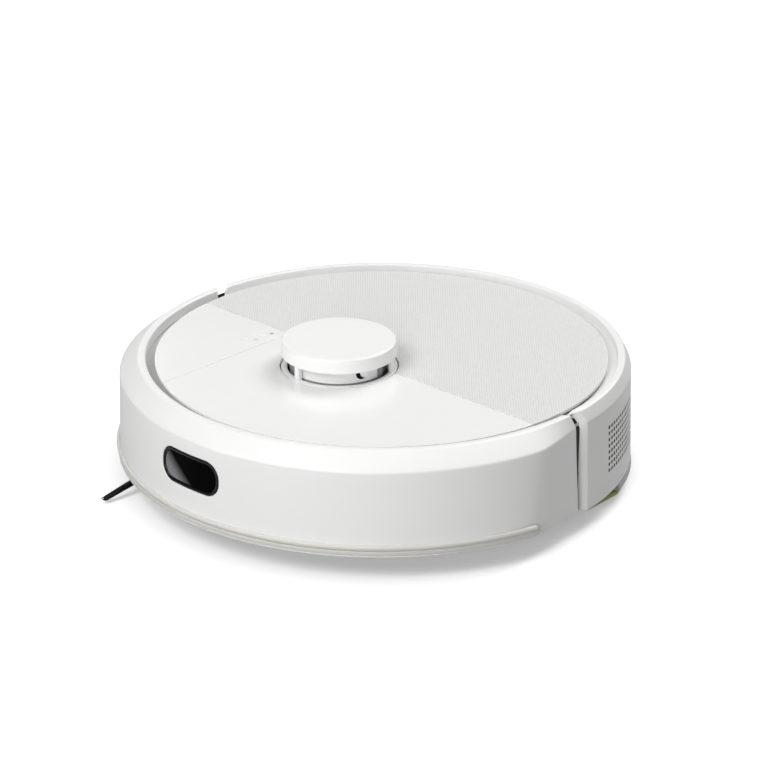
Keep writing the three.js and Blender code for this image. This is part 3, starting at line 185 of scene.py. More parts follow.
def bump(tree, height, depth_mm):
    """A bump of a real depth."""
    return add(tree, "ShaderNodeBump", {
        "Height": height, "Distance": depth_mm * MM, "Strength": 1.0,
    }).outputs["Normal"]


def moulded(name, base, tint, roughness, spread, grain, depth, **constants):
    """Injection-moulded plastic: a barely uneven tone over a hand's breadth, a spark-eroded grain, and
    a roughness that wanders a little where the surface has been wiped."""
    material, tree, shader, place = new_material(name, **constants)
    cloud = noise(tree, place, 30.0, 2.0)
    wear = noise(tree, place, 9.0, 4.0)
    fine = noise(tree, place, grain, 2.0, 0.6)
    dressed(tree, shader, colour_between(tree, cloud, base, tint),
            ramp(tree, wear, roughness - spread, roughness + spread, 0.3, 0.7), bump(tree, fine, depth))
    return material


# ---------------------------------------------------------------- materials

# Satin moulded ABS: an even soft white with a broad faint gloss over a very fine grain.
white_abs = moulded("white_abs_satin_shell", "f4f4f3", "f0f0ef", 0.42, 0.03, 0.7, 0.006,
                    **{"IOR": 1.53, "Coat Weight": 0.25, "Coat Roughness": 0.3})
# Polished ABS: the same white, smooth enough to hold the shape of a lamp.
white_gloss = moulded("white_abs_gloss_cover", "f6f6f5", "f3f3f2", 0.24, 0.03, 0.9, 0.003,
                      **{"IOR": 1.53, "Coat Weight": 0.2, "Coat Roughness": 0.12})
# The turret's ABS, between the two.
white_turret = moulded("white_abs_turret", "f5f5f4", "f3f3f2", 0.36, 0.03, 1.4, 0.004, **{"IOR": 1.53})
# Soft TPU: a warm grey-white that hardly shines.
cream_tpu = moulded("cream_tpu_strip", "dfddd8", "d8d6d1", 0.52, 0.05, 0.6, 0.02, **{"IOR": 1.5})
# Grained ABS of the inner and under parts: near black or mid-grey, dull, with a leathery grain.
dark_abs = moulded("dark_abs_grained", "2b2c2e", "242527", 0.55, 0.06, 0.7, 0.03, **{"IOR": 1.53})
grey_abs = moulded("grey_abs_grained", "8d9093", "84878a", 0.5, 0.05, 0.7, 0.02, **{"IOR": 1.53})
# The deck shows only in the groove round the covers, where it reads as pale grey in its own shade.
deck_abs = moulded("pale_grey_abs_deck", "cfd0cf", "c6c7c6", 0.5, 0.05, 0.7, 0.02, **{"IOR": 1.53})
# Smooth translucent-looking ABS of the tank's rim: pale grey with a clear shine along its edge.
frosted_abs = moulded("frosted_grey_abs_rim", "a9abac", "a0a2a3", 0.25, 0.04, 1.2, 0.004, **{"IOR": 1.53})
# Polypropylene: a slightly waxy olive green.
green_pp = moulded("green_polypropylene", "a3ae63", "99a45a", 0.42, 0.05, 0.8, 0.015, **{"IOR": 1.49})
# Pad-printed ink: thin flat grey.
print_grey = moulded("grey_pad_print", "9fa2a4", "989b9d", 0.5, 0.02, 0.4, 0.002)
# Silicone rubber: black with a soft dull sheen; the tyres' rubber is drier and dustier.
black_rubber = moulded("black_silicone_rubber", "1c1c1d", "151516", 0.6, 0.08, 0.5, 0.02, **{"IOR": 1.43})
tyre_rubber = moulded("black_tyre_rubber", "232324", "19191a", 0.8, 0.07, 0.6, 0.05, **{"IOR": 1.52})
# Smooth grey and near-black panes on the drum with a soft gleam; from 3 to 60 degrees a grey step and then
# a near-black pane are painted shade where the drum turns away from the light.
grey_pane_and_shade = moulded("grey_drum_pane_and_shade", "8b8c8e", "828385", 0.28, 0.03, 1.5, 0.003, **{"IOR": 1.5})
dark_drum_shade = moulded("dark_drum_painted_shade", "232425", "1d1e1f", 0.28, 0.03, 1.5, 0.003, **{"IOR": 1.5})
# Nylon: deep black hairs with a thin bright line along each.
nylon_black = moulded("black_nylon_bristle", "0d0d0e", "060607", 0.3, 0.06, 1.5, 0.002, **{"IOR": 1.53})
# Heat-shrunk PVC wrap of the cells: an even blue with a soft gloss.
cell_wrap = moulded("blue_shrink_wrap", "2f5fa8", "2a569b", 0.35, 0.05, 2.0, 0.02, **{"IOR": 1.5})


def polished_black(name, level, rough):
    """Polished black acrylic: near black, with a hard even gloss and only the faintest orange peel."""
    material, tree, shader, place = new_material(name, **{"IOR": 1.49, "Specular IOR Level": level})
    dressed(tree, shader, colour_between(tree, noise(tree, place, 12.0, 2.0), "060607", "0b0b0d"),
            ramp(tree, noise(tree, place, 4.0), rough, rough + 0.04),
            bump(tree, noise(tree, place, 6.0, 1.0), 0.004))
    return material


def pane_with_painted_reflection():
    """The pane over the sensors: black, with a painted reflection at its right end: a grey that begins along a
    slanted line and grows paler away from it."""
    material, tree, shader, place = new_material(
        "black_pane_painted_reflection", **{"IOR": 1.49, "Specular IOR Level": 0.02})
    # The grey at the pane's end is a painted reflection: a slanted band that grows paler away from its edge.
    along = add(tree, "ShaderNodeVectorMath", {0: place, 1: REFLECTION_ACROSS}, operation="DOT_PRODUCT")
    shade = ramp(tree, along.outputs["Value"], 0.0, 1.0, REFLECTION_START, REFLECTION_START + REFLECTION_WIDTH)
    cloud = ramp(tree, noise(tree, place, 9.0, 2.0), 0.92, 1.0)
    factor = add(tree, "ShaderNodeMath", {0: shade, 1: cloud}, operation="MULTIPLY").outputs[0]
    dressed(tree, shader, colour_between(tree, factor, "020203", "868788"),
            ramp(tree, noise(tree, place, 4.0), 0.04, 0.08),
            bump(tree, noise(tree, place, 6.0, 1.0), 0.004))
    return material


def woven_relief():
    """ABS moulded in a woven relief: threads that lie slantwise across the body pass over and under each
    other, with uneven streaks along them, as in real cloth; the hollows are painted darker and the crowns
    lighter, as painted shade."""
    material, tree, shader, place = new_material(
        "white_abs_woven_relief", **{"IOR": 1.53, "Specular IOR Level": 0.25})
    turned = add(tree, "ShaderNodeMapping", {
        "Vector": place, "Rotation": (0, 0, math.radians(THREAD_TURN)),
    }).outputs[0]
    across, along = (add(tree, "ShaderNodeTexWave", {
        "Vector": turned, "Scale": per_mm(THREAD) * TURN / 20, "Distortion": 0.0, "Detail": 0.0,
    }, wave_type="BANDS", bands_direction=axis, wave_profile="SIN").outputs["Fac"] for axis in "XY")
    parity = add(tree, "ShaderNodeTexChecker", {"Vector": turned, "Scale": per_mm(THREAD)}).outputs["Fac"]
    threads = add(tree, "ShaderNodeMix", {"Factor": parity, "A": across, "B": along}).outputs["Result"]
    drawn = add(tree, "ShaderNodeMapping", {"Vector": turned, "Scale": (1.0, 0.2, 1.0)}).outputs[0]
    streak = noise(tree, drawn, 1.5, 3.0, 0.7)
    height = add(tree, "ShaderNodeMath", {0: threads, 1: streak}, operation="ADD").outputs[0]
    crown = ramp(tree, height, 0.0, 1.0, 0.35, 1.45)
    # painted shade: the colour follows the relief's height, darker in the hollows and paler on the crowns
    dressed(tree, shader, colour_between(tree, crown, "d3d3d1", "e9e9e7"), ramp(tree, streak, 0.42, 0.6),
            bump(tree, height, 0.16))
    return material


def smoke_clear():
    """Smoke-tinted transparent ABS: dark glassy walls that let the things behind show faintly, with soft
    moulding flow lines."""
    material, tree, shader, place = new_material("smoke_transparent_abs", **{
        "IOR": 1.53, "Transmission Weight": 0.4, "Coat Weight": 0.2, "Coat Roughness": 0.05,
    })
    flow = noise(tree, place, 22.0, 2.0)
    dressed(tree, shader, colour_between(tree, flow, "b4b7b8", "a6aaac"),
            ramp(tree, noise(tree, place, 6.0), 0.08, 0.16), bump(tree, flow, 0.02))
    return material


def plated(name, base, tint, roughness, grain):
    """Plated metal: a bright even metal with fine drawn scratches and slightly cloudy patches."""
    material, tree, shader, place = new_material(name, **{"Metallic": 1.0})
    dressed(tree, shader, colour_between(tree, noise(tree, place, 5.0, 3.0), base, tint),
            ramp(tree, noise(tree, place, grain, 4.0), roughness - 0.06, roughness + 0.1),
            bump(tree, noise(tree, place, grain, 2.0), 0.004))
    return material


def solder_mask():
    """Green solder mask over copper tracks: fine stepped lines a little lighter than the board."""
    material, tree, shader, place = new_material("green_solder_mask", **{"IOR": 1.5})
    cells = add(tree, "ShaderNodeTexBrick", {
        "Vector": place, "Scale": per_mm(4.0), "Mortar Size": 0.06,
        "Color1": srgb("1c5a38"), "Color2": srgb("1f633d"), "Mortar": srgb("37865a"),
    })
    dressed(tree, shader, cells.outputs["Color"], ramp(tree, noise(tree, place, 3.0), 0.3, 0.5),
            bump(tree, cells.outputs["Fac"], 0.03))
    return material


def pleated_paper():
    """Filter paper: warm white fibres pressed flat, with soft lumps a few millimetres across."""
    material, tree, shader, place = new_material("filter_paper", **{"IOR": 1.5})
    fibre = noise(tree, place, 0.6, 5.0, 0.7)
    dressed(tree, shader, colour_between(tree, fibre, "e2dccb", "f2eee2"), ramp(tree, fibre, 0.8, 0.95),
            bump(tree, fibre, 0.06))
    return material


def looped_cloth():
    """Looped microfibre: short loops about 1.4 mm apart over a pale grey ground, with a soft sheen."""
    material, tree, shader, place = new_material("looped_microfibre", **{
        "Sheen Weight": 0.4, "Sheen Roughness": 0.5, "IOR": 1.45,
    })
    loops = add(tree, "ShaderNodeTexVoronoi", {"Vector": place, "Scale": per_mm(1.4)}).outputs["Distance"]
    fuzz = noise(tree, place, 0.5, 3.0, 0.7)
    height = add(tree, "ShaderNodeMath", {0: loops, 1: fuzz}, operation="ADD").outputs[0]
    crown = ramp(tree, height, 0.0, 1.0, 0.3, 1.3)
    dressed(tree, shader, colour_between(tree, crown, "d3d7da", "b3b8bd"), ramp(tree, fuzz, 0.85, 1.0),
            bump(tree, height, 0.5))
    return material


THREAD = 1.6                            # between the woven relief's threads, in millimetres
THREAD_TURN = -43.3                     # how the threads lie, in degrees
REFLECTION_ACROSS = (-0.651, 0.0, -0.759)    # across the slanted edge of the pane's painted reflection
REFLECTION_START = -0.0325                   # the painted reflection's edge, in metres along that direction
REFLECTION_WIDTH = 0.0088                    # over which it grows to its full strength, in metres
black_gloss = polished_black("polished_black_acrylic", 0.08, 0.03)
black_rim = polished_black("polished_black_rim", 0.3, 0.1)
painted_reflection_pane = pane_with_painted_reflection()
woven_abs = woven_relief()
smoke_abs = smoke_clear()
zinc_steel = plated("zinc_plated_steel", "b9bcc0", "a9adb2", 0.3, 0.8)
nickel = plated("nickel_plated_contact", "cfc9bd", "c2bbad", 0.22, 0.5)
board_green = solder_mask()
filter_paper = pleated_paper()
pad_cloth = looped_cloth()

FINISHES = {
    "white_shell": white_abs, "white_cover": white_gloss, "woven_cover": woven_abs,
    "soft_strip": cream_tpu, "black_gloss": black_gloss, "dark_plastic": dark_abs,
    "grey_plastic": grey_abs, "mop_green": green_pp, "smoke_plastic": smoke_abs,
    "black_rubber": black_rubber, "tyre_rubber": tyre_rubber, "bristle": nylon_black,
    "steel": zinc_steel, "nickel": nickel, "board_green": board_green, "cell_wrap": cell_wrap,
    "filter_paper": filter_paper, "pad_cloth": pad_cloth,
}


# ---------------------------------------------------------------- surfaces

class Sheets:
    """The point grids and flat caps of one piece, in body millimetres."""

    def __init__(self):
        """No grids and no caps yet."""
        self.points, self.quads, self.caps, self.count = [], [], [], 0

    def grid(self, points, wrap_rows=False, wrap_columns=False, keep=None):
        """Quads between the rows and columns of a grid of points, either way closed on itself if
        asked; keep is a table of the cells to make. Returns the grid's vertex numbers."""
        rows, columns = points.shape[:2]
        row = np.arange(rows if wrap_rows else rows - 1)
        column = np.arange(columns if wrap_columns else columns - 1)
        a, b = np.meshgrid(row, column, indexing="ij")
        if keep is not None:
            a, b = a[keep], b[keep]
        a, b = a.ravel(), b.ravel()
        c, d = (a + 1) % rows, (b + 1) % columns
        quads = np.stack([a * columns + b, c * columns + b, c * columns + d, a * columns + d], -1)
        numbers = np.arange(rows * columns).reshape(rows, columns) + self.count
        self.points.append(points.reshape(-1, 3))
        self.quads.append(quads + self.count)
        self.count += rows * columns
        return numbers

    def cap(self, *loops):
        """A flat face inside the first loop of vertex numbers and outside the others."""
        self.caps.append([np.asarray(loop).ravel() for loop in loops])


def finished(name, mesh, material, body, replaces, crease):
    """Makes a mesh a piece: smooth up to its creases, attached to its body, and hiding the nodes it replaces."""
    mesh.materials.clear()
    mesh.materials.append(material)
    mesh.polygons.foreach_set("use_smooth", np.ones(len(mesh.polygons), bool))
    mesh.set_sharp_from_angle(angle=math.radians(crease))
    piece = bpy.data.objects.new(name, mesh)
    bpy.context.scene.collection.objects.link(piece)
    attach(piece, body)
    if replaces:
        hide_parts(*([replaces] if isinstance(replaces, str) else replaces))
    return piece


def make(name, sheets, material, body, replaces=(), crease=32):
    """Welds a piece's sheets into one mesh with closed seams and outward faces, in the part's frame."""
    points = (np.concatenate(sheets.points) + SHIFT) * MM
    quads = np.concatenate(sheets.quads)
    mesh = bpy.data.meshes.new(name)
    mesh.from_pydata(points.tolist(), [], quads.tolist())
    work = bmesh.new()
    work.from_mesh(mesh)
    work.verts.ensure_lookup_table()
    for group in sheets.caps:
        edges = []
        for loop in group:
            for a, b in zip(loop.tolist(), np.roll(loop, -1).tolist()):
                pair = (work.verts[a], work.verts[b])
                if (pair[0].co - pair[1].co).length > 1e-7:
                    edges.append(work.edges.get(pair) or work.edges.new(pair))
        bmesh.ops.triangle_fill(work, use_beauty=True, use_dissolve=False, edges=edges)
    bmesh.ops.remove_doubles(work, verts=work.verts, dist=2e-6)
    bmesh.ops.dissolve_degenerate(work, edges=work.edges, dist=1e-7)
    bmesh.ops.recalc_face_normals(work, faces=work.faces)
    work.to_mesh(mesh)
    work.free()
    return finished(name, mesh, material, body, replaces, crease)


def rounded(corners, radii, steps):
    """A closed outline whose corners are arcs: each arc's centre lies on the corner's bisector, and its
    points swing evenly between the two sides that it touches."""
    corners = np.asarray(corners, float)
    radii = np.broadcast_to(np.asarray(radii, float), len(corners))
    back = np.roll(corners, 1, 0) - corners
    ahead = np.roll(corners, -1, 0) - corners
    reach = np.minimum(np.linalg.norm(back, axis=1), np.linalg.norm(ahead, axis=1)) * 0.49
    back /= np.linalg.norm(back, axis=1)[:, None]
    ahead /= np.linalg.norm(ahead, axis=1)[:, None]
    half = np.arccos(np.clip((back * ahead).sum(1), -1, 1)) / 2
    half = np.minimum(half, math.pi / 2 - 1e-4)
    tangent = np.minimum(radii / np.tan(half), reach)
    bisector = back + ahead
    bisector /= np.maximum(np.linalg.norm(bisector, axis=1), 1e-9)[:, None]
    centre = corners + bisector * (tangent / np.cos(half))[:, None]
    start = corners + back * tangent[:, None] - centre
    end = corners + ahead * tangent[:, None] - centre
    sweep = (math.pi - 2 * half)[:, None]
    t = np.linspace(0, 1, steps + 1)[None, :]
    from_start = np.sin((1 - t) * sweep) / np.sin(sweep)
    from_end = np.sin(t * sweep) / np.sin(sweep)
    arcs = centre[:, None] + start[:, None] * from_start[..., None] + end[:, None] * from_end[..., None]
    return arcs.reshape(-1, corners.shape[1])


def thinned(outline, least=1e-3):
    """A closed outline without the points that repeat the one before."""
    far = np.linalg.norm(outline - np.roll(outline, 1, 0), axis=1) > least
    return outline[far]


def inset(outline, distance):
    """A closed outline moved to its left by a distance: each point moves along the mean of its two
    sides' normals, further at a sharper corner."""
    side = np.roll(outline, -1, 0) - outline
    side = side / np.linalg.norm(side, axis=1)[:, None]
    after = np.stack([-side[:, 1], side[:, 0]], -1)
    before = np.roll(after, 1, 0)
    both = before + after
    return outline + distance * both / (1 + (before * after).sum(1))[:, None]


def arc(centre, radius, start, end, steps):
    """Points on a circle between two angles in degrees, in plan."""
    angle = np.radians(np.linspace(start, end, steps + 1))
    return np.stack([centre[0] + radius * np.cos(angle), centre[1] + radius * np.sin(angle)], -1)


def raised(outline, height):
    """A plan outline at a height."""
    return np.concatenate([outline, np.full((len(outline), 1), float(height))], 1)


def plate(sheets, outlines, low, high, edge, foot=0.0, support=0.5):
    """A flat plate with a rounded upper edge: rows climb the side, swing over a quarter circle and run
    a little way in, and the rest of the top is one flat face. Material lies left of each outline."""
    swing = np.linspace(0, math.pi / 2, 6)
    start = high - edge
    drawn = np.concatenate([[foot, 0, 0], edge * (1 - np.cos(swing))[1:], [edge + support]])
    heights = np.concatenate([[low, low + foot, start], start + edge * np.sin(swing[1:]), [high]])
    if foot == 0:
        drawn, heights = drawn[1:], heights[1:]
    tops, bottoms = [], []
    for outline in outlines:
        rows = np.stack([raised(inset(outline, d), z) for d, z in zip(drawn, heights)])
        numbers = sheets.grid(rows, wrap_columns=True)
        bottoms.append(numbers[0])
        tops.append(numbers[-1])
    sheets.cap(*tops)
    sheets.cap(*bottoms)


def revolved(sheets, profile, centre=(0, 0), steps=192, closed=True):
    """A profile of radius and height turned about an upright axis."""
    angle = np.linspace(0, TURN, steps, endpoint=False)
    x = centre[0] + profile[:, :1] * np.cos(angle)
    y = centre[1] + profile[:, :1] * np.sin(angle)
    z = np.broadcast_to(profile[:, 1:], x.shape)
    return sheets.grid(np.stack([x, y, z], -1), wrap_rows=closed, wrap_columns=True)


def laid_down(sheets, centre):
    """Turns a piece's grids from an upright axis to an axis along X through a point."""
    sheets.points = [points[:, [2, 0, 1]] + centre for points in sheets.points]


def oblong(low, high):
    """The corners of an upright rectangle, counted to the left."""
    return [[low[0], low[1]], [high[0], low[1]], [high[0], high[1]], [low[0], high[1]]]


def around(radius, angle, z, ahead=1):
    """Points at a radius, a height, and an angle from straight ahead, or from the rear if ahead is -1."""
    radius, angle, z = np.broadcast_arrays(radius, angle, z)
    return np.stack([radius * np.sin(angle), -ahead * radius * np.cos(angle), z], -1)


def swept(sheets, points, keep=None):
    """A closed section carried along the columns of a grid, with a flat cap at each end."""
    numbers = sheets.grid(points, wrap_rows=True, keep=keep)
    sheets.cap(numbers[:, 0])
    sheets.cap(numbers[:, -1])


def turned_solid(sheets, profile, centre, steps):
    """A turned profile whose ends are closed with flat caps."""
    numbers = revolved(sheets, thinned(profile), centre, steps, closed=False)
    sheets.cap(numbers[0])
    sheets.cap(numbers[-1])


def upright(sheets, loops, low, high):
    """A straight-sided slab: material lies left of each loop."""
    numbers = [sheets.grid(np.stack([raised(loop, low), raised(loop, high)]), wrap_columns=True)
               for loop in loops]
    sheets.cap(*(rows[1] for rows in numbers))
    sheets.cap(*(rows[0] for rows in numbers))


def places(mesh):
    """A mesh's vertices in body millimetres."""
    points = np.empty(3 * len(mesh.vertices))
    mesh.vertices.foreach_get("co", points)
    return points.reshape(-1, 3) / MM - SHIFT


def put(mesh, points):
    """Moves a mesh's vertices to places in body millimetres."""
    mesh.vertices.foreach_set("co", ((points + SHIFT) * MM).ravel())
    mesh.update()


def tube(sheets, path, radii, sides=8, flat=1.0, up=(0, 0, 1)):
    """A round or flattened tube along a path: a ring across the path's direction at every point, squeezed
    along its upright axis by flat, with its ends closed to a point."""
    path = np.asarray(path, float)
    radii = np.broadcast_to(np.asarray(radii, float), len(path))
    heading = np.gradient(path, axis=0)
    heading /= np.linalg.norm(heading, axis=1)[:, None]
    across = np.cross(np.broadcast_to(up, heading.shape), heading)
    across /= np.linalg.norm(across, axis=1)[:, None]
    rise = np.cross(heading, across)
    angle = np.linspace(0, TURN, sides, endpoint=False)
    ring = (across[:, None] * np.cos(angle)[None, :, None]
            + flat * rise[:, None] * np.sin(angle)[None, :, None])
    rows = path[:, None] + ring * radii[:, None, None]
    ends = [np.repeat(path[:1, None], sides, 1), np.repeat(path[-1:, None], sides, 1)]
    return sheets.grid(np.concatenate([ends[0], rows, ends[1]]), wrap_columns=True)


# ---------------------------------------------------------------- front bumper

def end_angle(radius, line):
    """The angle from the front at which a circle meets the bumper's slanted end face: where the
    distance forward equals the line's, on a line that falls back as it goes out."""
    return math.atan(END_SLOPE) + np.arccos(np.clip(-line / (radius * END_SLANT), -1, 1))


def facet_radius(radius, angle, z, inward=0.0):
    """The radius after the flattened side is cut: the softer of the circle and a plane that leans in and
    turns a little as it climbs."""
    climb = np.clip((z - BUMPER_FOOT_Z) / (BUMPER_SHOULDER_Z - BUMPER_FOOT_Z), 0, 1)
    place, slope = (low + (high - low) * climb for low, high in zip(FACET_FOOT, FACET_SHOULDER))
    across = np.abs(np.sin(angle)) - slope * np.cos(angle)
    plane = (place - inward) / np.maximum(across, 0.2)
    return (radius + plane - np.sqrt((radius - plane) ** 2 + FACET_SOFTNESS)) / 2


def bumper_reach(radius, z, inward, angle):
    """The bumper's radius by row and angle: the wall is cut by the flattened side, and the bevel above
    the shoulder is drawn in, so that it still runs from the crest to the cut wall."""
    crest, shoulder = CREST_R - inward / 2, BUMPER_R - inward
    cut = facet_radius(shoulder, angle, z, inward)
    drawn = crest + (cut - crest) * (radius - crest) / (shoulder - crest)
    wall = facet_radius(radius, angle, z, inward)
    return np.where(radius > crest, np.where(z > BUMPER_SHOULDER_Z - 5, drawn, wall), radius)


def wall_radius(z):
    """The bumper's wall, which leans in from its foot to its shoulder."""
    return BUMPER_R + BUMPER_DRAFT * (BUMPER_SHOULDER_Z - z) / (BUMPER_SHOULDER_Z - BUMPER_FOOT_Z)


WINDOW_LOW, WINDOW_HIGH = span("bumper_window")[0][2] + 0.1, span("bumper_window")[1][2]
WINDOW_U = -2.0                             # its middle, towards the robot's right along the wall
WINDOW_HALF = np.array([span("bumper_window")[1][0] + GAP, (WINDOW_HIGH - WINDOW_LOW) / 2])
WINDOW_Z = (WINDOW_LOW + WINDOW_HIGH) / 2
WINDOW_CORNER = 11.2
WINDOW_MARGIN = np.array([4.0, 2.4])        # from the window to the edge of its block in the wall's grid
BLOCK_STEPS = 20                            # cells from the block's middle to its side, and up it
ROWS_BELOW = (22.0, 28.0, 32.5)             # heights of the wall's rows under the block
WALL_END = math.radians(74)                 # where the wall's evenly spaced columns end


def pill_reach(heading, half, corner):
    """How far a rounded rectangle reaches from its middle in each heading: to its straight side, or to
    its corner circle where the straight sides' meeting lies beyond it."""
    c, s = np.abs(np.cos(heading)) + 1e-12, np.abs(np.sin(heading)) + 1e-12
    reach = np.minimum(half[0] / c, half[1] / s)
    inner = np.array(half) - corner
    in_corner = (reach * c > inner[0]) & (reach * s > inner[1])
    along = c * inner[0] + s * inner[1]
    root = np.sqrt(np.maximum(along ** 2 - (inner ** 2).sum() + corner ** 2, 0))
    return np.where(in_corner, along + root, reach)


def on_wall(u, z, depth):
    """A point given by its way round the bumper's wall, its height, and its depth under the wall."""
    return around(wall_radius(z) - depth, u / BUMPER_R, z)


def window_loop(heading, drawn_in, depth, scale=1.0):
    """The window's outline on the wall, drawn in by a distance and sunk by a depth."""
    reach = pill_reach(heading, WINDOW_HALF - drawn_in, max(WINDOW_CORNER - drawn_in, 0.5)) * scale
    return on_wall(WINDOW_U + reach * np.cos(heading), WINDOW_Z + reach * np.sin(heading), depth)


def bumper_section():
    """The bumper's closed section as radius and height, with its wall's rows at the window's heights;
    also returns how far each row lies inside the skin, and the rows of the window's block."""
    steps = 6
    corners = [
        [wall_radius(BUMPER_FOOT_Z) - SKIN, BUMPER_FOOT_Z], [wall_radius(BUMPER_FOOT_Z), BUMPER_FOOT_Z],
        [BUMPER_R, BUMPER_SHOULDER_Z], [CREST_R, CREST_Z], [RIM_R, CREST_Z], [RIM_R, LIP_Z],
        [RIM_R + SKIN, LIP_Z], [RIM_R + SKIN, CREST_Z - SKIN], [CREST_R - 1.2, CREST_Z - SKIN],
        [BUMPER_R - SKIN, BUMPER_SHOULDER_Z - 1.2],
    ]
    section = rounded(corners, [0.4, 0.6, 2.4, 2.6, 1.1, 0.4, 0.4, 0.4, 1.0, 1.5], steps)
    start, end = 2 * (steps + 1) - 1, 2 * (steps + 1)
    block = np.linspace(WINDOW_LOW - WINDOW_MARGIN[1], WINDOW_HIGH + WINDOW_MARGIN[1], BLOCK_STEPS + 1)
    heights = np.concatenate([ROWS_BELOW, block])
    wall = np.stack([np.interp(heights, section[[start, end], 1], section[[start, end], 0]), heights], -1)
    section = np.concatenate([section[:start + 1], wall, section[end:]])
    inward = np.zeros(len(section))
    inward[:steps + 1] = inward[-2 * (steps + 1):] = SKIN           # the first corner and the last two
    low_row = start + 1 + len(ROWS_BELOW)
    return section, inward, low_row, low_row + BLOCK_STEPS


def bumper_shell():
    """The bumper's section carried round the front to its slanted ends. A block of the wall's grid is
    left out, and rings run from the block's edge to the window's outline and down into its seat."""
    section, inward, low_row, high_row = bumper_section()
    radius, height = section.T
    block_angle = (WINDOW_HALF[0] + WINDOW_MARGIN[0]) / BUMPER_R
    fixed = np.concatenate([
        np.linspace(0, block_angle, BLOCK_STEPS + 1), np.linspace(block_angle, WALL_END, 55)[1:],
    ])
    last = end_angle(radius, END_LINE)
    for _ in range(6):                      # the wall's radius and its end depend on each other
        last = end_angle(bumper_reach(radius, height, inward, last), END_LINE)
    tail = fixed[-1] + (last[:, None] - fixed[-1]) * np.linspace(0, 1, 27)[None, 1:]
    half = np.concatenate([np.broadcast_to(fixed, (len(radius), len(fixed))), tail], 1)
    angle = np.concatenate([-half[:, :0:-1], half], 1)
    reach = bumper_reach(radius[:, None], height[:, None], inward[:, None], angle)
    cut = (BUMPER_R - facet_radius(BUMPER_R, angle, BUMPER_SHOULDER_Z)) / LIFT_DEPTH
    share = (np.clip((height - LIFT_START_Z) / LIFT_RISE, 0, 1)
             * np.clip((CREST_Z - height) / (CREST_Z - BUMPER_SHOULDER_Z), 0, 1))
    points = around(reach, angle, height[:, None] + SHOULDER_LIFT * share[:, None] * cut)
    middle = half.shape[1] - 1
    left, right = middle - BLOCK_STEPS, middle + BLOCK_STEPS
    keep = np.ones((len(section), angle.shape[1] - 1), bool)
    keep[low_row:high_row, left:right] = False
    sheets = Sheets()
    swept(sheets, points, keep)
    rim = np.concatenate([
        points[low_row, left:right], points[low_row:high_row, right],
        points[high_row, right:left:-1], points[high_row:low_row:-1, left],
    ])
    u = np.arctan2(rim[:, 0], -rim[:, 1]) * BUMPER_R
    heading = np.arctan2(rim[:, 2] - WINDOW_Z, u - WINDOW_U)
    reach = pill_reach(heading, WINDOW_HALF, WINDOW_CORNER)
    hole = np.stack([WINDOW_U + reach * np.cos(heading), WINDOW_Z + reach * np.sin(heading)], -1)
    outer = np.stack([u, rim[:, 2]], -1)
    share = np.linspace(0, 1, 5)[:, None, None]
    flat = outer * (1 - share) + hole * share
    rows = [on_wall(row[:, 0], row[:, 1], 0.0) for row in flat]
    rows[0] = rim
    lip = ((0.12, 0.04), (0.3, 0.16), (0.42, 0.34), (0.46, 0.6), (0.46, 2.1))     # drawn in, and sunk
    rows += [window_loop(heading, *step) for step in lip]
    rows += [window_loop(heading, *lip[-1], scale) for scale in np.linspace(1, 0, 9)[1:]]
    sheets.grid(np.stack(rows), wrap_columns=True)
    return make("bumper_shell", sheets, white_abs, "bumper", "front_bumper")


def camera_window():
    """The black window: a rounded glossy rim, and a pane inside it that lies a little deeper."""
    heading = np.linspace(0, TURN, 160, endpoint=False)
    rim = [(2.95, 2.0), (0.62, 2.0), (0.62, 0.5), (0.68, 0.2), (0.85, -0.02), (1.15, -0.14), (1.6, -0.16),
           (2.1, -0.08), (2.5, 0.12), (2.8, 0.4), (2.95, 0.8)]
    sheets = Sheets()
    sheets.grid(np.stack([window_loop(heading, *step) for step in rim]), wrap_rows=True, wrap_columns=True)
    make("bumper_window_rim", sheets, black_rim, "bumper", "bumper_window")
    pane = Sheets()
    rows = [window_loop(heading, 3.05, 1.9, scale) for scale in np.linspace(0, 1, 7)]
    rows += [window_loop(heading, *step) for step in ((3.05, 0.9), (3.15, 0.72), (3.4, 0.66))]
    rows += [window_loop(heading, 3.4, 0.66, scale) for scale in np.linspace(1, 0, 13)[1:]]
    pane.grid(np.stack(rows), wrap_columns=True)
    return make("bumper_window_pane", pane, painted_reflection_pane, "bumper", "bumper_window")


def soft_strip():
    """The soft strip along the bumper's foot: a section of two swollen bands with a groove between, carried
    round the foot and shrunk to a rounded knob at each end."""
    low, high = span("bumper_strip")[0][2], span("bumper_strip")[1][2] - 2
    groove = low + 4.0
    proud = np.array([
        [0.0, low], [0.75, low + 0.03], [0.95, low + 0.2], [0.95, low + 0.5], [0.72, low + 0.75],
        [0.95, low + 1.4], [1.25, groove - 0.9], [1.2, groove - 0.35], [0.8, groove],
        [1.2, groove + 0.35], [1.6, groove + 0.9], [1.85, groove + 1.6], [1.9, groove + 2.4],
        [1.88, high - 1.6], [1.7, high - 0.8], [1.3, high - 0.3], [0.7, high - 0.05], [0.0, high],
        [-0.25, high - 0.5], [-0.25, low + 0.5],
    ])
    foot_r = wall_radius(BUMPER_FOOT_Z)
    last = math.acos(-span("bumper_strip")[1][1] / (foot_r + 1.9))
    knob = 4.2 / foot_r
    swing = np.linspace(0, math.pi / 2, 12)
    half = np.concatenate([np.linspace(0, last - knob, 90)[:-1], last - knob + knob * np.sin(swing)])
    size = np.concatenate([np.ones(89), np.maximum(np.cos(swing), 0.02)])
    angle = np.concatenate([-half[:0:-1], half])
    size = np.concatenate([size[:0:-1], size])
    middle = (low + high) / 2
    z = middle + (proud[:, 1:] - middle) * size
    reach = foot_r + proud[:, :1] * np.maximum(size, 0.05) ** 0.8
    reach = np.maximum(reach, wall_radius(z) - 0.2)
    sheets = Sheets()
    swept(sheets, around(reach, angle, z))
    return make("bumper_soft_strip", sheets, cream_tpu, "bumper", "bumper_strip")


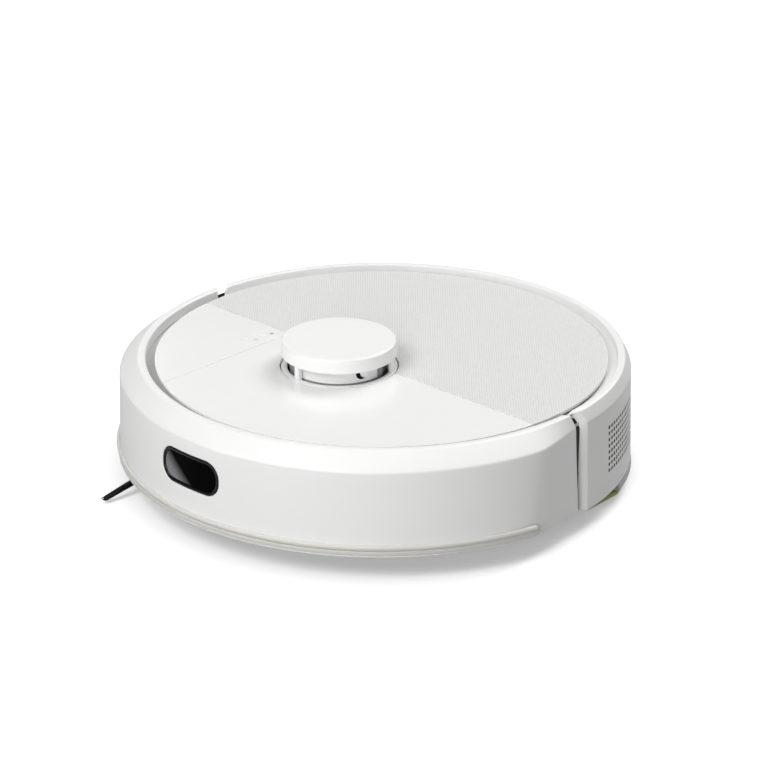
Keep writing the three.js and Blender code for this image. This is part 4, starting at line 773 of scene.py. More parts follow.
def gap_shade_strip():
    """A black rubber strip behind the gap between the bumper and the rear shell, one on each side, that paints
    the gap's shade black: a rounded section carried along the wall, inside the bumper's skin and far enough in to
    let it slide."""
    low, high = SHELL_FOOT_Z + 3, CREST_Z - SKIN - 2.5
    section = rounded([
        [158.4, low], [161.6, low], [161.6, SHELL_SHOULDER_Z - 4], [158.9, high], [157.6, high],
    ], [0.6, 0.6, 1.5, 0.5, 0.5], 4)
    start, end = 87, 99                     # from straight ahead, in degrees
    sheets = Sheets()
    for side in (1, -1):
        angle = side * np.radians(np.linspace(start, end, 14))
        swept(sheets, around(section[:, :1], angle, section[:, 1:]))
    return make("gap_shade_strip", sheets, black_rubber, "chassis")


bumper_shell()
camera_window()
soft_strip()
gap_shade_strip()


# ---------------------------------------------------------------- rear shell

VENT_COLUMNS, VENT_ROWS = 13, 8
VENT_CELL = 4                                       # cells of the wall's grid across a hole's square
VENT_PITCH = 4.3                                    # between rows
VENT_STEP = math.radians(1.44)                      # between columns
VENT_START = math.radians(90 - 15.3)                # first column, from the rear
VENT_TOP = COVER_Z - 19.5                           # middle of the top row
VENT_R = 1.35
VENT_LOW_ANGLE = VENT_START - (VENT_COLUMNS - 0.5) * VENT_STEP
VENT_HIGH_ANGLE = VENT_START + VENT_STEP / 2
VENT_LOW_Z, VENT_HIGH_Z = VENT_TOP - (VENT_ROWS - 0.5) * VENT_PITCH, VENT_TOP + VENT_PITCH / 2
VENT_MIDDLES = VENT_TOP - (VENT_ROWS - 1 - np.arange(VENT_ROWS)) * VENT_PITCH
NOTCH_STEPS, NOTCH_TO_VENT = 22, 20                 # columns from the rear to the notch's side, and on
SHELL_DRAFT = 2.0                                   # how far the wall's foot stands out
NOSE, NOSE_DEPTH = 4.5, 6.5                         # rounding of the shell's front ends
NOSE_START = math.radians(45)                       # where its swing starts, at a crease
NOSE_FOOT_Z = 78.0                                  # above this the nose also sinks as it turns in
LEDGE_R, LEDGE_THICK = COVER_R - 0.6, 1.3           # white floor of the slot beside the covers


def shell_sections():
    """The rear shell's closed section: down the inside, up the outside, over the shoulder and crest and
    down the inner rim. The wall's rows stand at the same heights inside and outside."""
    vent = np.linspace(VENT_LOW_Z, VENT_HIGH_Z, VENT_CELL * VENT_ROWS + 1)
    wall = np.concatenate([[SHELL_FOOT_Z, 18.0, 23.0], vent, [66.5, NOTCH_TOP_Z]])
    inside = np.stack([np.full(len(wall), SHELL_R - SKIN), wall], -1)[::-1]
    outside = np.stack([np.full(len(wall), SHELL_R), wall], -1)
    top = rounded([
        [SHELL_R, NOTCH_TOP_Z], [SHELL_R, SHELL_SHOULDER_Z], [CREST_R, CREST_Z], [RIM_R, CREST_Z],
        [RIM_R, LIP_Z + LEDGE_THICK], [LEDGE_R, LIP_Z + LEDGE_THICK], [LEDGE_R, LIP_Z],
        [RIM_R + SKIN, LIP_Z], [RIM_R + SKIN, CREST_Z - SKIN], [CREST_R - 0.8, CREST_Z - SKIN],
        [SHELL_R - SKIN, SHELL_SHOULDER_Z - 1], [SHELL_R - SKIN, NOTCH_TOP_Z],
    ], [0, 1.3, 2.0, 1.1, 0.8, 0.3, 0.3, 0.4, 0.4, 0.6, 1.0, 0], 6)
    top = top[7:-7]                                             # both ends are rows of the wall
    return np.concatenate([inside, outside, top]), len(wall)


def rear_shell():
    """The rear shell's section carried round the rear between its rounded front ends. The wall's grid has
    a notch for the bin, and a block of squares each with a round hole: rings run from the square's edge
    to the hole's, through the wall and out to the square behind."""
    section, wall_rows = shell_sections()
    radius, height = section[:, 0], section[:, 1]
    notch = np.arcsin(NOTCH_X / radius)
    last = np.arccos(REAR_LINE / (radius * END_SLANT)) - math.atan(END_SLOPE)
    swing = np.linspace(NOSE_START, math.pi / 2, 10)
    nose = NOSE / radius
    along = (np.sin(swing) - math.sin(NOSE_START)) / (1 - math.sin(NOSE_START))
    inward = NOSE_DEPTH * (math.cos(NOSE_START) - np.cos(swing)) / math.cos(NOSE_START)

    def between(low, high, steps):
        """Columns after one angle and up to another, for every row."""
        share = np.linspace(0, 1, steps + 1)[None, 1:]
        low, high = (np.broadcast_to(edge, radius.shape)[:, None] for edge in (low, high))
        return low + (high - low) * share

    pieces = [
        np.zeros((len(radius), 1)), between(0, notch, NOTCH_STEPS),
        between(notch, VENT_LOW_ANGLE, NOTCH_TO_VENT),
        between(VENT_LOW_ANGLE, VENT_HIGH_ANGLE, VENT_CELL * VENT_COLUMNS),
        between(VENT_HIGH_ANGLE, last - nose, 5),
        (last - nose)[:, None] + nose[:, None] * along[None, 1:],
    ]
    half = np.concatenate(pieces, 1)
    turn_in = np.concatenate([np.zeros(half.shape[1] - 9), inward[1:]])
    angle = np.concatenate([-half[:, :0:-1], half], 1)
    turn_in = np.concatenate([turn_in[:0:-1], turn_in])
    at_wall = np.clip((radius - RIM_R - 1) / 6, 0, 1)           # the rim keeps its place
    reach = radius[:, None] - turn_in * at_wall[:, None]
    sinking = np.clip((height - NOSE_FOOT_Z) / (CREST_Z - NOSE_FOOT_Z), 0, 1)
    z = height[:, None] - 0.5 * turn_in * sinking[:, None]
    points = around(reach, angle, z, -1)

    middle = half.shape[1] - 1
    left, right = middle - NOTCH_STEPS, middle + NOTCH_STEPS
    vents = right + NOTCH_TO_VENT                               # first column of the holes, on the left
    vent_columns = slice(vents, vents + VENT_CELL * VENT_COLUMNS)
    outer_low, inner_low = wall_rows + 3, wall_rows - 4         # the wall's lowest rows beside the holes
    keep = np.ones((len(section), angle.shape[1] - 1), bool)
    keep[:2 * wall_rows - 1, left:right] = False
    keep[outer_low:outer_low + VENT_CELL * VENT_ROWS, vent_columns] = False
    keep[inner_low - VENT_CELL * VENT_ROWS:inner_low, vent_columns] = False
    sheets = Sheets()
    swept(sheets, points, keep)
    for column in (left, right):
        sheets.grid(np.stack([points[wall_rows - 1::-1, column], points[wall_rows:2 * wall_rows, column]]))
    sheets.grid(points[[0, 2 * wall_rows - 1], left:right + 1])

    column = vents + VENT_CELL * np.arange(VENT_COLUMNS)[:, None, None]
    row = outer_low + VENT_CELL * np.arange(VENT_ROWS)[None, :, None]
    # Once round a hole's square, from the middle of a side.
    round_column = np.array([4, 4, 4, 3, 2, 1, 0, 0, 0, 0, 0, 1, 2, 3, 4, 4])
    round_row = np.array([2, 3, 4, 4, 4, 4, 4, 3, 2, 1, 0, 0, 0, 0, 0, 1])
    cell_column, cell_row = column + round_column, row + round_row
    border = points[cell_row, cell_column]
    inner_border = points[2 * wall_rows - 1 - cell_row, cell_column]
    turn = np.linspace(0, TURN, 16, endpoint=False)
    hole_angle = (VENT_LOW_ANGLE + (np.arange(VENT_COLUMNS) + 0.5) * VENT_STEP)[:, None, None]
    hole_z = VENT_MIDDLES[None, :, None]

    def ring(size, depth):
        """Every hole's edge at a size and a depth."""
        return around(SHELL_R - depth, hole_angle + size * np.cos(turn) / SHELL_R,
                      hole_z + size * np.sin(turn), -1)

    layers = np.stack([
        border, ring(VENT_R + 0.22, 0.0), ring(VENT_R + 0.08, 0.06), ring(VENT_R, 0.25),
        ring(VENT_R, SKIN), inner_border,
    ], 2)
    for cells in layers.reshape(-1, *layers.shape[2:]):
        sheets.grid(cells, wrap_columns=True)
    return leaned(make("rear_shell_body", sheets, white_abs, "chassis", "rear_shell"))


def at_side(across):
    """1 at the body's sides and 0 at its rear, from how far across a direction points."""
    return np.clip((np.abs(across) - 0.5) / 0.35, 0, 1)


def leaned(piece):
    """Moves a piece of the rear's wall outwards at the sides, more towards the foot: the wall's draft."""
    points = places(piece.data)
    reach = np.hypot(points[:, 0], points[:, 1])
    share = np.clip((SHELL_SHOULDER_Z - points[:, 2]) / (SHELL_SHOULDER_Z - SHELL_FOOT_Z), 0, 1)
    share = share * at_side(points[:, 0] / reach) * np.clip(reach / SHELL_R - 0.9, 0, 0.1) / 0.1
    points[:, :2] *= (1 + SHELL_DRAFT * share / SHELL_R)[:, None]
    put(piece.data, points)
    return piece


def vent_painted_shade():
    """Painted shade in the vents: a thin dark slab carried round inside the wall, wider and taller than
    the grid of holes, with a round pad that fills each hole from behind and stops short of the face, so that
    the holes read dark."""
    margin = 3.0
    inner, outer = SHELL_R - SKIN - 1.5, SHELL_R - SKIN - 0.4
    section = rounded(oblong((inner, VENT_LOW_Z - margin), (outer, VENT_HIGH_Z + margin)), 0.3, 3)
    angle = np.linspace(VENT_LOW_ANGLE - margin / SHELL_R, VENT_HIGH_ANGLE + margin / SHELL_R, 40)
    sheets = Sheets()
    swept(sheets, around(section[:, :1], angle, section[:, 1:], -1))
    turn = np.linspace(0, TURN, 12, endpoint=False)
    size = np.array([0, 1, 1, 0])[:, None] * (VENT_R - 0.06)
    depth = np.array([SKIN + 0.8, SKIN + 0.8, 0.1, 0.1])[:, None]
    hole_angle = (VENT_START - np.arange(VENT_COLUMNS) * VENT_STEP)[:, None, None, None]
    shade_pads = around(SHELL_R - depth, hole_angle + size * np.cos(turn) / SHELL_R,
                  VENT_MIDDLES[None, :, None, None] + size * np.sin(turn), -1)
    for pad in shade_pads.reshape(-1, *shade_pads.shape[2:]):
        sheets.grid(pad, wrap_columns=True)
    return leaned(make("vent_painted_shade", sheets, black_rubber, "chassis"))


rear_shell()
vent_painted_shade()


# ---------------------------------------------------------------- covers and keys

SEAM_Y = (span("rear_cover")[0][1] + span("front_cover")[1][1]) / 2
PANEL_X = (span("front_cover")[0][0] + span("control_panel")[1][0]) / 2
SEAM_HALF = GAP / 2
PLATE_LOW = COVER_Z - COVER_THICK
TURRET_HOLE_R = 39.0
MARK_LINE, INK = 0.4, 0.025                 # width and height of a printed line


def chord(radius, offset):
    """Half the length of a circle's chord at an offset from its middle."""
    return math.sqrt(radius ** 2 - offset ** 2)


def degrees_of(point, centre=(0, 0)):
    """A point's heading round a centre, in plan."""
    return math.degrees(math.atan2(point[1] - centre[1], point[0] - centre[0]))


def cornered(parts, radius=0.8):
    """Joins runs of plan points into one closed outline and rounds the corners between the runs."""
    points = np.concatenate(parts)
    corner = np.concatenate([np.isin(np.arange(len(part)), [0, len(part) - 1]) for part in parts])
    radii = np.where(corner, radius, 0.0)
    keep = np.linalg.norm(points - np.roll(points, 1, 0), axis=1) > 1e-3
    return thinned(rounded(points[keep], radii[keep], 4), 0.01)


def turret_hole_ends(y):
    """Where the turret's hole meets a seam across the body: its right end and its left, in degrees."""
    reach = chord(TURRET_HOLE_R, y - TURRET[1])
    return (degrees_of((TURRET[0] + side * reach, y), TURRET) for side in (1, -1))


def cover(name, node, outlines, material, slot, *edge):
    """A cover between the deck and the covers' height, with a rounded upper edge."""
    sheets = Sheets()
    plate(sheets, outlines, PLATE_LOW, COVER_Z, *edge)
    return make(name, sheets, material, "chassis", node)


def front_cover():
    """The front cover: an arc of the covers' circle, the turret's hole and the corner at the panel."""
    y, x = SEAM_Y - SEAM_HALF, PANEL_X + SEAM_HALF
    start, end = turret_hole_ends(y)
    outline = cornered([
        arc((0, 0), COVER_R, degrees_of((x, -chord(COVER_R, x))), degrees_of((chord(COVER_R, y), y)), 90),
        arc(TURRET, TURRET_HOLE_R, start, end - 360, 90),
        np.array([[x, y]]),
    ])
    return cover("front_cover_plate", "front_cover", [outline], white_gloss, "white_cover", 0.35)


def rear_cover():
    """The rear cover: an arc of the covers' circle and the turret's hole."""
    y = SEAM_Y + SEAM_HALF
    right = degrees_of((chord(COVER_R, y), y))
    start, end = turret_hole_ends(y)
    outline = cornered([
        arc((0, 0), COVER_R, right, 180 - right, 140), arc(TURRET, TURRET_HOLE_R, end, start, 60),
    ])
    return cover("rear_cover_plate", "rear_cover", [outline], woven_abs, "woven_cover", 0.35)


def key_outline(node, grow, radius):
    """A key's rounded outline, grown by a distance."""
    low, high = span(node)
    return rounded(oblong(low - grow, high + grow), radius, 6)


def control_panel():
    """The panel: an arc of the covers' circle and the corner at the seam, with a hole for each key."""
    x, y = PANEL_X - SEAM_HALF, SEAM_Y - SEAM_HALF
    left, low = (-chord(COVER_R, y), y), (x, -chord(COVER_R, x))
    outline = cornered([
        arc((0, 0), COVER_R, degrees_of(left) + 360, degrees_of(low) + 360, 50), np.array([[x, y]]),
    ])
    holes = [key_outline(node, GAP, 1.3)[::-1] for node in ("home_button", "power_button")]
    return cover("control_panel_plate", "control_panel", [outline, *holes], white_gloss, "white_cover",
                 0.22, 0.0, 0.12)


def control_key(node, name):
    """A key: a small plate on a turned stem. Returns its middle in plan."""
    sheets = Sheets()
    plate(sheets, [key_outline(node, 0.1, 1.1)], PLATE_LOW, COVER_Z, 0.25)
    low, high = span(node)
    middle = ((low + high) / 2)[:2]
    revolved(sheets, np.array([[0, low[2]], [1.9, low[2]], [1.9, PLATE_LOW + 0.2], [0, PLATE_LOW + 0.2]]),
             middle, 24, closed=False)
    make(name, sheets, white_gloss, node, node)
    return middle


def printed(name, loops, body):
    """A printed mark: a flat figure that stands a little proud of its key."""
    sheets = Sheets()
    upright(sheets, loops, COVER_Z - 0.01, COVER_Z + INK)
    return make(name, sheets, print_grey, body)


def circle(centre, radius, steps=32):
    """A closed circle in plan."""
    return arc(centre, radius, 0, 360, steps)[:-1]


front_cover()
rear_cover()
control_panel()
home_middle = control_key("home_button", "home_key")
power_middle = control_key("power_button", "power_key")
ring = circle(power_middle, 1.5), circle(power_middle, 1.5 - MARK_LINE)[::-1]
printed("power_mark_ring", ring, "power_button")
house = ((-1.7, -0.1), (0, 1.5), (1.7, -0.1), (1.2, -0.1), (1.2, -1.4), (-1.2, -1.4), (-1.2, -0.1))
printed("home_mark", [home_middle + rounded(house, 0.1, 2)], "home_button")


# ---------------------------------------------------------------- laser turret

CAP_R = 38.4                            # at the skirt; the cap narrows a little towards its top
CAP_TOP = span("lidar_cap")[1][2]
SKIRT_Z = COVER_Z + 9
RING_R = (34.1, 38.2)                   # the flat ring under the posts
DRUM_R = 32.6
POSTS = (-94, 27, 147)                  # where the posts stand, in degrees in plan
LASER_AT = -17.6                        # where the laser's port looks out
GREY_PANE_AND_SHADE_FACES = ((-150, -104), (3, 13.4))  # where grey panes run round the drum; the one from 3 degrees is a step of painted shade
DARK_SHADE_FACES = ((13.4, 60),)              # and the near-black pane of painted shade beyond it


def turned_by(angle):
    """The table that turns plan points to the left by an angle."""
    return np.array([[math.cos(angle), math.sin(angle)], [-math.sin(angle), math.cos(angle)]])


def turret_cap():
    """A shallow bowl turned over, on three posts that rise from a flat ring: the bowl and the ring are
    turned profiles, and each post is a rounded bar."""
    wall = 2.4
    profile = rounded([
        [CAP_R - 5.5, CAP_TOP], [CAP_R - 0.7, CAP_TOP], [CAP_R, SKIRT_Z], [CAP_R - wall, SKIRT_Z],
        [CAP_R - wall, CAP_TOP - wall], [CAP_R - 5.5, CAP_TOP - wall],
    ], [0, 1.7, 0.7, 0.5, 1.5, 0], 8)
    sheets = Sheets()
    turned_solid(sheets, profile, TURRET, 160)
    foot = oblong((RING_R[0], COVER_Z - 3.4), (RING_R[1], COVER_Z - 0.2))
    revolved(sheets, rounded(foot, [0.4, 0.4, 0.6, 0.9], 5), TURRET, 144)
    for heading in np.radians(POSTS):
        plan = rounded(oblong((-1.9, -2.1), (1.7, 2.1)), 0.9, 5) + [CAP_R - 2.6, 0]
        upright(sheets, [plan @ turned_by(heading) + TURRET], span("lidar_cap")[0][2], SKIRT_Z + 1.5)
    return make("turret_cap_shell", sheets, white_turret, "turret_cap", "lidar_cap")


def turret_drum():
    """The spinning drum: a turned can on a narrower track, open in the middle for its spindle, with a grey
    foot and raised panes that run part of the way round; the panes from 3 to 60 degrees, grey and then
    near-black, are painted shade."""
    low, high = span("lidar_drum")[0][2], span("lidar_drum")[1][2]
    track = low + 4.5
    sheets = Sheets()
    body = rounded([
        [6.3, low + 9.8], [6.3, low], [24.0, low], [24.0, track], [DRUM_R, track + 1], [DRUM_R, high],
        [DRUM_R - 5, high],
    ], [0, 0, 0.3, 0.3, 0.8, 1.4, 0], 5)
    turned_solid(sheets, body, TURRET, 160)
    make("laser_drum", sheets, white_turret, "turret_drum", "lidar_drum")
    grey, dark = Sheets(), Sheets()
    foot = oblong((DRUM_R - 1, track + 1.5), (DRUM_R + 0.12, COVER_Z + 0.1))
    revolved(grey, rounded(foot, [0.1, 0.3, 0.1, 0.1], 4), TURRET, 144)
    face = oblong((DRUM_R - 1, COVER_Z - 1), (DRUM_R + 0.16, high - 1.4))
    face = rounded(face, [0.1, 0.1, 0.3, 0.1], 4)
    for panes, faces in ((grey, GREY_PANE_AND_SHADE_FACES), (dark, DARK_SHADE_FACES)):
        for start, end in faces:
            turn = np.radians(np.linspace(start, end, 30))
            x, y = TURRET[0] + face[:, :1] * np.cos(turn), TURRET[1] + face[:, :1] * np.sin(turn)
            swept(panes, np.stack([x, y, np.broadcast_to(face[:, 1:], x.shape)], -1))
    make("laser_drum_grey_pane_and_shade", grey, grey_pane_and_shade, "turret_drum")
    return make("laser_drum_dark_painted_shade", dark, dark_drum_shade, "turret_drum")


def facing_out(sheets, profile, heading, radius, z):
    """A profile of radius and depth turned about an axis that looks straight out of the turret."""
    angle = np.linspace(0, TURN, 40, endpoint=False)
    out = np.array([math.cos(heading), math.sin(heading), 0])
    side = np.array([-math.sin(heading), math.cos(heading), 0])
    centre = np.array([*TURRET, z]) + out * radius
    ring = np.cos(angle)[:, None] * side + np.sin(angle)[:, None] * [0, 0, 1]
    sheets.grid(centre + profile[:, None, :1] * ring + profile[:, None, 1:] * out, wrap_columns=True)


def laser_port_painted_shadow():
    """The laser's port as a black round disc on the drum, which also paints the shadow beside the white barrel of
    its lens standing out of it.
    """
    heading, z = math.radians(LASER_AT), SKIRT_Z - 2.9
    port = Sheets()
    facing_out(port, np.array([[0, -0.8], [3.9, -0.8], [4.1, 0.0], [3.9, 0.12], [0, 0.12]]),
               heading - 0.03, DRUM_R, z)
    make("laser_port_painted_shadow", port, black_gloss, "turret_drum")
    barrel = Sheets()
    swing = np.linspace(0, math.pi / 2, 9)
    dome = np.stack([3.7 * np.cos(swing), 0.1 + 0.75 * np.sin(swing)], -1)
    facing_out(barrel, np.concatenate([[[0, -0.5], [3.7, -0.5]], dome]), heading + 0.045, DRUM_R, z + 0.5)
    make("laser_barrel", barrel, white_turret, "turret_drum")


turret_cap()
turret_drum()
laser_port_painted_shadow()


# ---------------------------------------------------------------- softened copies of plain nodes

BODY_OF = {node: body for body, nodes in frame["record"]["behaviour"]["bodies"].items() for node in nodes}
SLOT_OF = {part["node"]: part["material_slot"] for part in frame["record"]["subparts"]}
BAND_TOP_Z = SHELL_FOOT_Z - GAP             # of the band round the tank
FLANGE_TOP_Z = BAND_TOP_Z - 1.5
EDGE_WIDTHS = {                             # of the rounding along a node's edges
    "base_pan": 0.5, "top_deck": 0.3, "lidar_base": 0.4, "brush_hood": 0.5, "bin_bay": 0.5, "dust_bin": 0.5,
    "bin_lid": 0.4, "bin_face": 0.5, "bin_release": 0.5, "fan_housing": 0.6, "battery_door": 0.4,
    "battery_pack": 1.2, "brush_gearmotor": 0.6, "left_wheel_arm": 0.8, "right_wheel_arm": 0.8,
    "left_wheel_hub": 0.5, "right_wheel_hub": 0.5, "caster_fork": 0.5, "water_tank": 0.5,
    "charging_contact_left": 0.4, "charging_contact_right": 0.4, "cliff_lens_left": 0.3,
    "cliff_lens_right": 0.3, "main_board": 0.2, "fan_impeller": 0.2,
}
FLAT, SHARP = math.radians(0.6), math.radians(35)    # angles that count as no edge, and as an edge


def rim_lowered(points):
    """The tank without the rim round its flange, whose place the band takes: the rim's top comes down to
    the flange, and its outside goes in to the tub's."""
    radius = np.hypot(points[:, 0], points[:, 1])
    at_rim = (points[:, 2] < BAND_TOP_Z + 0.01) & (radius > SHELL_R - 12)
    points[:, :2] *= np.where(at_rim, np.minimum(radius, SHELL_R - 0.6) / radius, 1)[:, None]
    points[:, 2] = np.where(at_rim & (points[:, 2] > FLANGE_TOP_Z), FLANGE_TOP_Z, points[:, 2])
    return points


def softened(node, width, material, reshape):
    """A copy of a node with its triangles merged, its flat faces joined and its edges rounded. A reshaped
    copy also loses the faces that the move has folded onto each other."""
    mesh = frame["nodes"][node].data.copy()
    if reshape:
        put(mesh, reshape(places(mesh)))
    work = bmesh.new()
    work.from_mesh(mesh)
    bmesh.ops.remove_doubles(work, verts=work.verts, dist=2e-6)
    if reshape:
        bmesh.ops.dissolve_degenerate(work, edges=work.edges, dist=1e-6)
        doubled = {}
        for face in list(work.faces):
            doubled.setdefault(frozenset(face.verts), []).append(face)
        folded = [face for group in doubled.values() if len(group) == 2 for face in group]
        bmesh.ops.delete(work, geom=folded, context="FACES")
    bmesh.ops.dissolve_limit(work, angle_limit=FLAT, verts=work.verts, edges=work.edges)
    work.to_mesh(mesh)
    work.free()
    piece = finished(node + "_soft", mesh, material, BODY_OF[node], node, 30)
    edge = piece.modifiers.new("edge", "BEVEL")
    edge.width = width * MM
    edge.segments = 2
    edge.limit_method = "ANGLE"
    edge.angle_limit = SHARP
    edge.harden_normals = True
    return piece


for node, width in EDGE_WIDTHS.items():
    softened(node, width, deck_abs if node == "top_deck" else FINISHES[SLOT_OF[node]],
             rim_lowered if node == "water_tank" else None)


# ---------------------------------------------------------------- wheels

TREAD_LUGS, TREAD_DEPTH, TREAD_ROWS = 30, 1.5, 19
TREAD_SLANT = 0.18                      # how far a groove turns from the middle to the edge, in radians
GROOVE_SHARE, GROOVE_SIDE = 0.24, 0.06  # a groove's half width and its side's, as shares of a lug's pitch


def tyre(node, middle):
    """A tyre round an axis along X. Its section is a rounded band; the tread is cut into slanted lugs by
    grooves whose angle round the wheel shifts with the distance from the middle."""
    low, high = span(node)
    outer, half = (high[2] - low[2]) / 2, (high[0] - low[0]) / 2
    steps = 6
    section = rounded(oblong((outer - 8, -half), (outer - 0.4, half)), [0.5, 2.4, 2.4, 0.5], steps)
    across = np.linspace(-half + 3.0, half - 3.0, TREAD_ROWS)
    tread = np.stack([np.full(TREAD_ROWS, outer), across], -1)
    turned = 2 * (steps + 1)                # points of the first two corners
    section = np.concatenate([section[:turned], tread, section[turned:]])
    angle = np.linspace(0, TURN, TREAD_LUGS * 10, endpoint=False)
    shift = TREAD_SLANT * np.abs(section[:, 1:]) / half
    phase = np.mod(TREAD_LUGS * (angle + shift) / TURN, 1)
    groove = np.clip((GROOVE_SHARE - np.abs(phase - 0.5)) / GROOVE_SIDE, 0, 1)
    middle_rib = np.clip((np.abs(section[:, 1:]) - 1.6) / 0.8, 0, 1)
    on_tread = np.clip((section[:, :1] - outer + 3) / 2, 0, 1)
    reach = section[:, :1] - TREAD_DEPTH * groove * middle_rib * on_tread
    points = np.stack([reach * np.cos(angle), reach * np.sin(angle),
                       np.broadcast_to(section[:, 1:], reach.shape)], -1)
    sheets = Sheets()
    sheets.grid(points, wrap_rows=True, wrap_columns=True)
    laid_down(sheets, middle)
    return make(node + "_treaded", sheets, tyre_rubber, BODY_OF[node], node, 40)


def caster_tyre():
    """The caster's wheel: a turned section with a groove down the middle and rounded shoulders."""
    low, high = span("caster_wheel")
    outer, half = (high[2] - low[2]) / 2, (high[0] - low[0]) / 2
    section = rounded([
        [2.3, -half], [6.5, -half], [7.0, -half + 1], [8.5, -half + 1], [9.0, -half], [outer, -half],
        [outer, -1.0], [outer - 1.2, 0], [outer, 1.0], [outer, half], [9.0, half], [8.5, half - 1],
        [7.0, half - 1], [6.5, half], [2.3, half],
    ], [0.2, 0.5, 0.3, 0.3, 0.5, 1.6, 0.5, 0.4, 0.5, 1.6, 0.5, 0.3, 0.3, 0.5, 0.2], 4)
    sheets = Sheets()
    revolved(sheets, thinned(section), steps=72)
    laid_down(sheets, (low + high) / 2)
    return make("caster_wheel_turned", sheets, black_rubber, "caster_wheel", "caster_wheel")


for side in ("left", "right"):
    node = side + "_wheel_tyre"
    tyre(node, sum(span(node)) / 2)
caster_tyre()


# ---------------------------------------------------------------- brushes

BRUSH_AXIS = JOINT_PLACE["main_brush_spin"]
BRUSH_R, BRUSH_CORE_R, BRUSH_HALF = 20.8, 8.0, 75.0
BRUSH_NOTCHES, NOTCH_HALF = (-38, 0, 38), 3.2           # gaps in the fins, where the guard's bars pass
BRUSH_FINS = 6
LIP_R = 0.7                                             # rounding of a fin's edge
FIN_TURN, FIN_BEND = 0.75, 0.12                         # of a fin's heading and its section, in radians


def main_brush():
    """The brush: a waisted core, and rubber fins that lean into a V. A fin's section runs up one side, over
    a round lip and down the other; its heading turns with the distance from the middle."""
    sheets = Sheets()
    low, high = -BRUSH_HALF - 1, BRUSH_HALF + 1
    core = rounded([
        [0, low - 5], [4, low - 5], [4, low], [BRUSH_CORE_R, low],
        [BRUSH_CORE_R, high], [4, high], [4, high + 3], [0, high + 3],
    ], [0, 0.8, 0.3, 0.8, 0.8, 0.3, 0.8, 0], 3)
    revolved(sheets, thinned(core), steps=48, closed=False)
    climb = np.linspace(0, 1, 9)
    lip = np.linspace(-math.pi / 2, math.pi / 2, 7)
    thick = 1.5 - 0.8 * climb
    up = BRUSH_CORE_R - 0.6 + (BRUSH_R - LIP_R - BRUSH_CORE_R + 0.6) * climb
    side = np.concatenate([-thick, LIP_R * np.sin(lip[1:-1]), thick[::-1]])
    height = np.concatenate([up, BRUSH_R - LIP_R + LIP_R * np.cos(lip[1:-1]), up[::-1]])
    edges = [-BRUSH_HALF, *BRUSH_NOTCHES, BRUSH_HALF]
    for fin in range(BRUSH_FINS):
        for start, end in zip(edges[:-1], edges[1:]):
            start += NOTCH_HALF * (start > -BRUSH_HALF)
            end -= NOTCH_HALF * (end < BRUSH_HALF)
            x = np.linspace(start, end, 15)
            heading = TURN * fin / BRUSH_FINS + FIN_TURN * np.abs(x) / BRUSH_HALF
            bend = FIN_BEND * np.sin(math.pi * np.clip((height - BRUSH_CORE_R) / 13, 0, 1))
            turn = heading[None, :] + bend[:, None] + (side / height)[:, None]
            swept(sheets, np.stack([height[:, None] * np.cos(turn), height[:, None] * np.sin(turn),
                                    np.broadcast_to(x, turn.shape)], -1))
    laid_down(sheets, BRUSH_AXIS)
    return make("main_brush_finned", sheets, black_rubber, "main_brush", "main_brush", 40)


SIDE_BRUSH = JOINT_PLACE["side_brush_spin"][:2]
TUFT_ANGLES = (-88, 32, 152)                            # in degrees in plan
TUFT_START, TUFT_REACH = 20, 65.5                       # where a tuft leaves its arm, and where it ends
TUFT_HAIRS = 30


def side_brush():
    """The side brush: a turned hub with three tapered arms, and a flat tuft of bristles in each arm. A
    bristle leaves its arm low, bows upward a little, and comes down to the floor; the tuft narrows
    towards its tip and bends back against the turn."""
    hub = Sheets()
    top = span("side_brush_hub")[1][2]
    profile = rounded([
        [0, 6.0], [4.6, 6.0], [7.0, 6.6], [7.0, 10.8], [3.5, 10.8], [3.5, top], [0, top],
    ], [0, 1.2, 0.8, 0.4, 0.3, 0.3, 0], 4)
    revolved(hub, thinned(profile), SIDE_BRUSH, 48, closed=False)
    make("side_brush_hub_turned", hub, grey_abs, "side_brush", "side_brush_hub")
    arms = Sheets()
    revolved(arms, rounded(oblong((7.2, 7.0), (11.5, 10.6)), 0.7, 4), SIDE_BRUSH, 64)
    tufts = Sheets()
    rng = np.random.default_rng(5)
    hub_at = np.array([*SIDE_BRUSH, 0])
    for heading in np.radians(TUFT_ANGLES):
        out = np.array([math.cos(heading), math.sin(heading), 0])
        side = np.array([-math.sin(heading), math.cos(heading), 0])

        def at(reach, aside, z):
            """Points by their distance along the arm, beside it and over the floor."""
            return (hub_at + np.multiply.outer(reach, out) + np.multiply.outer(aside, side)
                    + np.multiply.outer(z, [0, 0, 1]))

        reach = np.linspace(9.0, 22.0, 7)
        tube(arms, at(reach, 0 * reach, 8.6 - 0.03 * (reach - 9)), np.linspace(3.1, 2.4, 7), 16, flat=0.62)
        t = np.linspace(0, 1, 12)
        reach = TUFT_START + (TUFT_REACH - TUFT_START) * t
        for _ in range(TUFT_HAIRS):
            spread, level = rng.uniform(-1, 1), rng.uniform(-1, 1)
            short = 1 - 0.06 * rng.uniform() * t
            aside = (spread * (2.5 - 1.0 * t) + 1.7 * np.sin(math.pi * t) - 0.6 * t ** 3
                     + 0.15 * rng.normal() * t)
            z = 8.2 - 5.2 * t ** 1.6 + 0.9 * np.sin(math.pi * t) + level * (1.3 - 0.6 * t)
            tube(tufts, at(reach * short, aside, np.maximum(z, 0.5)), np.linspace(0.42, 0.3, 12), 5)
    make("side_brush_arms", arms, black_rubber, "side_brush", "side_brush_bristles")
    make("side_brush_tufts", tufts, nylon_black, "side_brush", crease=60)


main_brush()
side_brush()


# ---------------------------------------------------------------- mop module

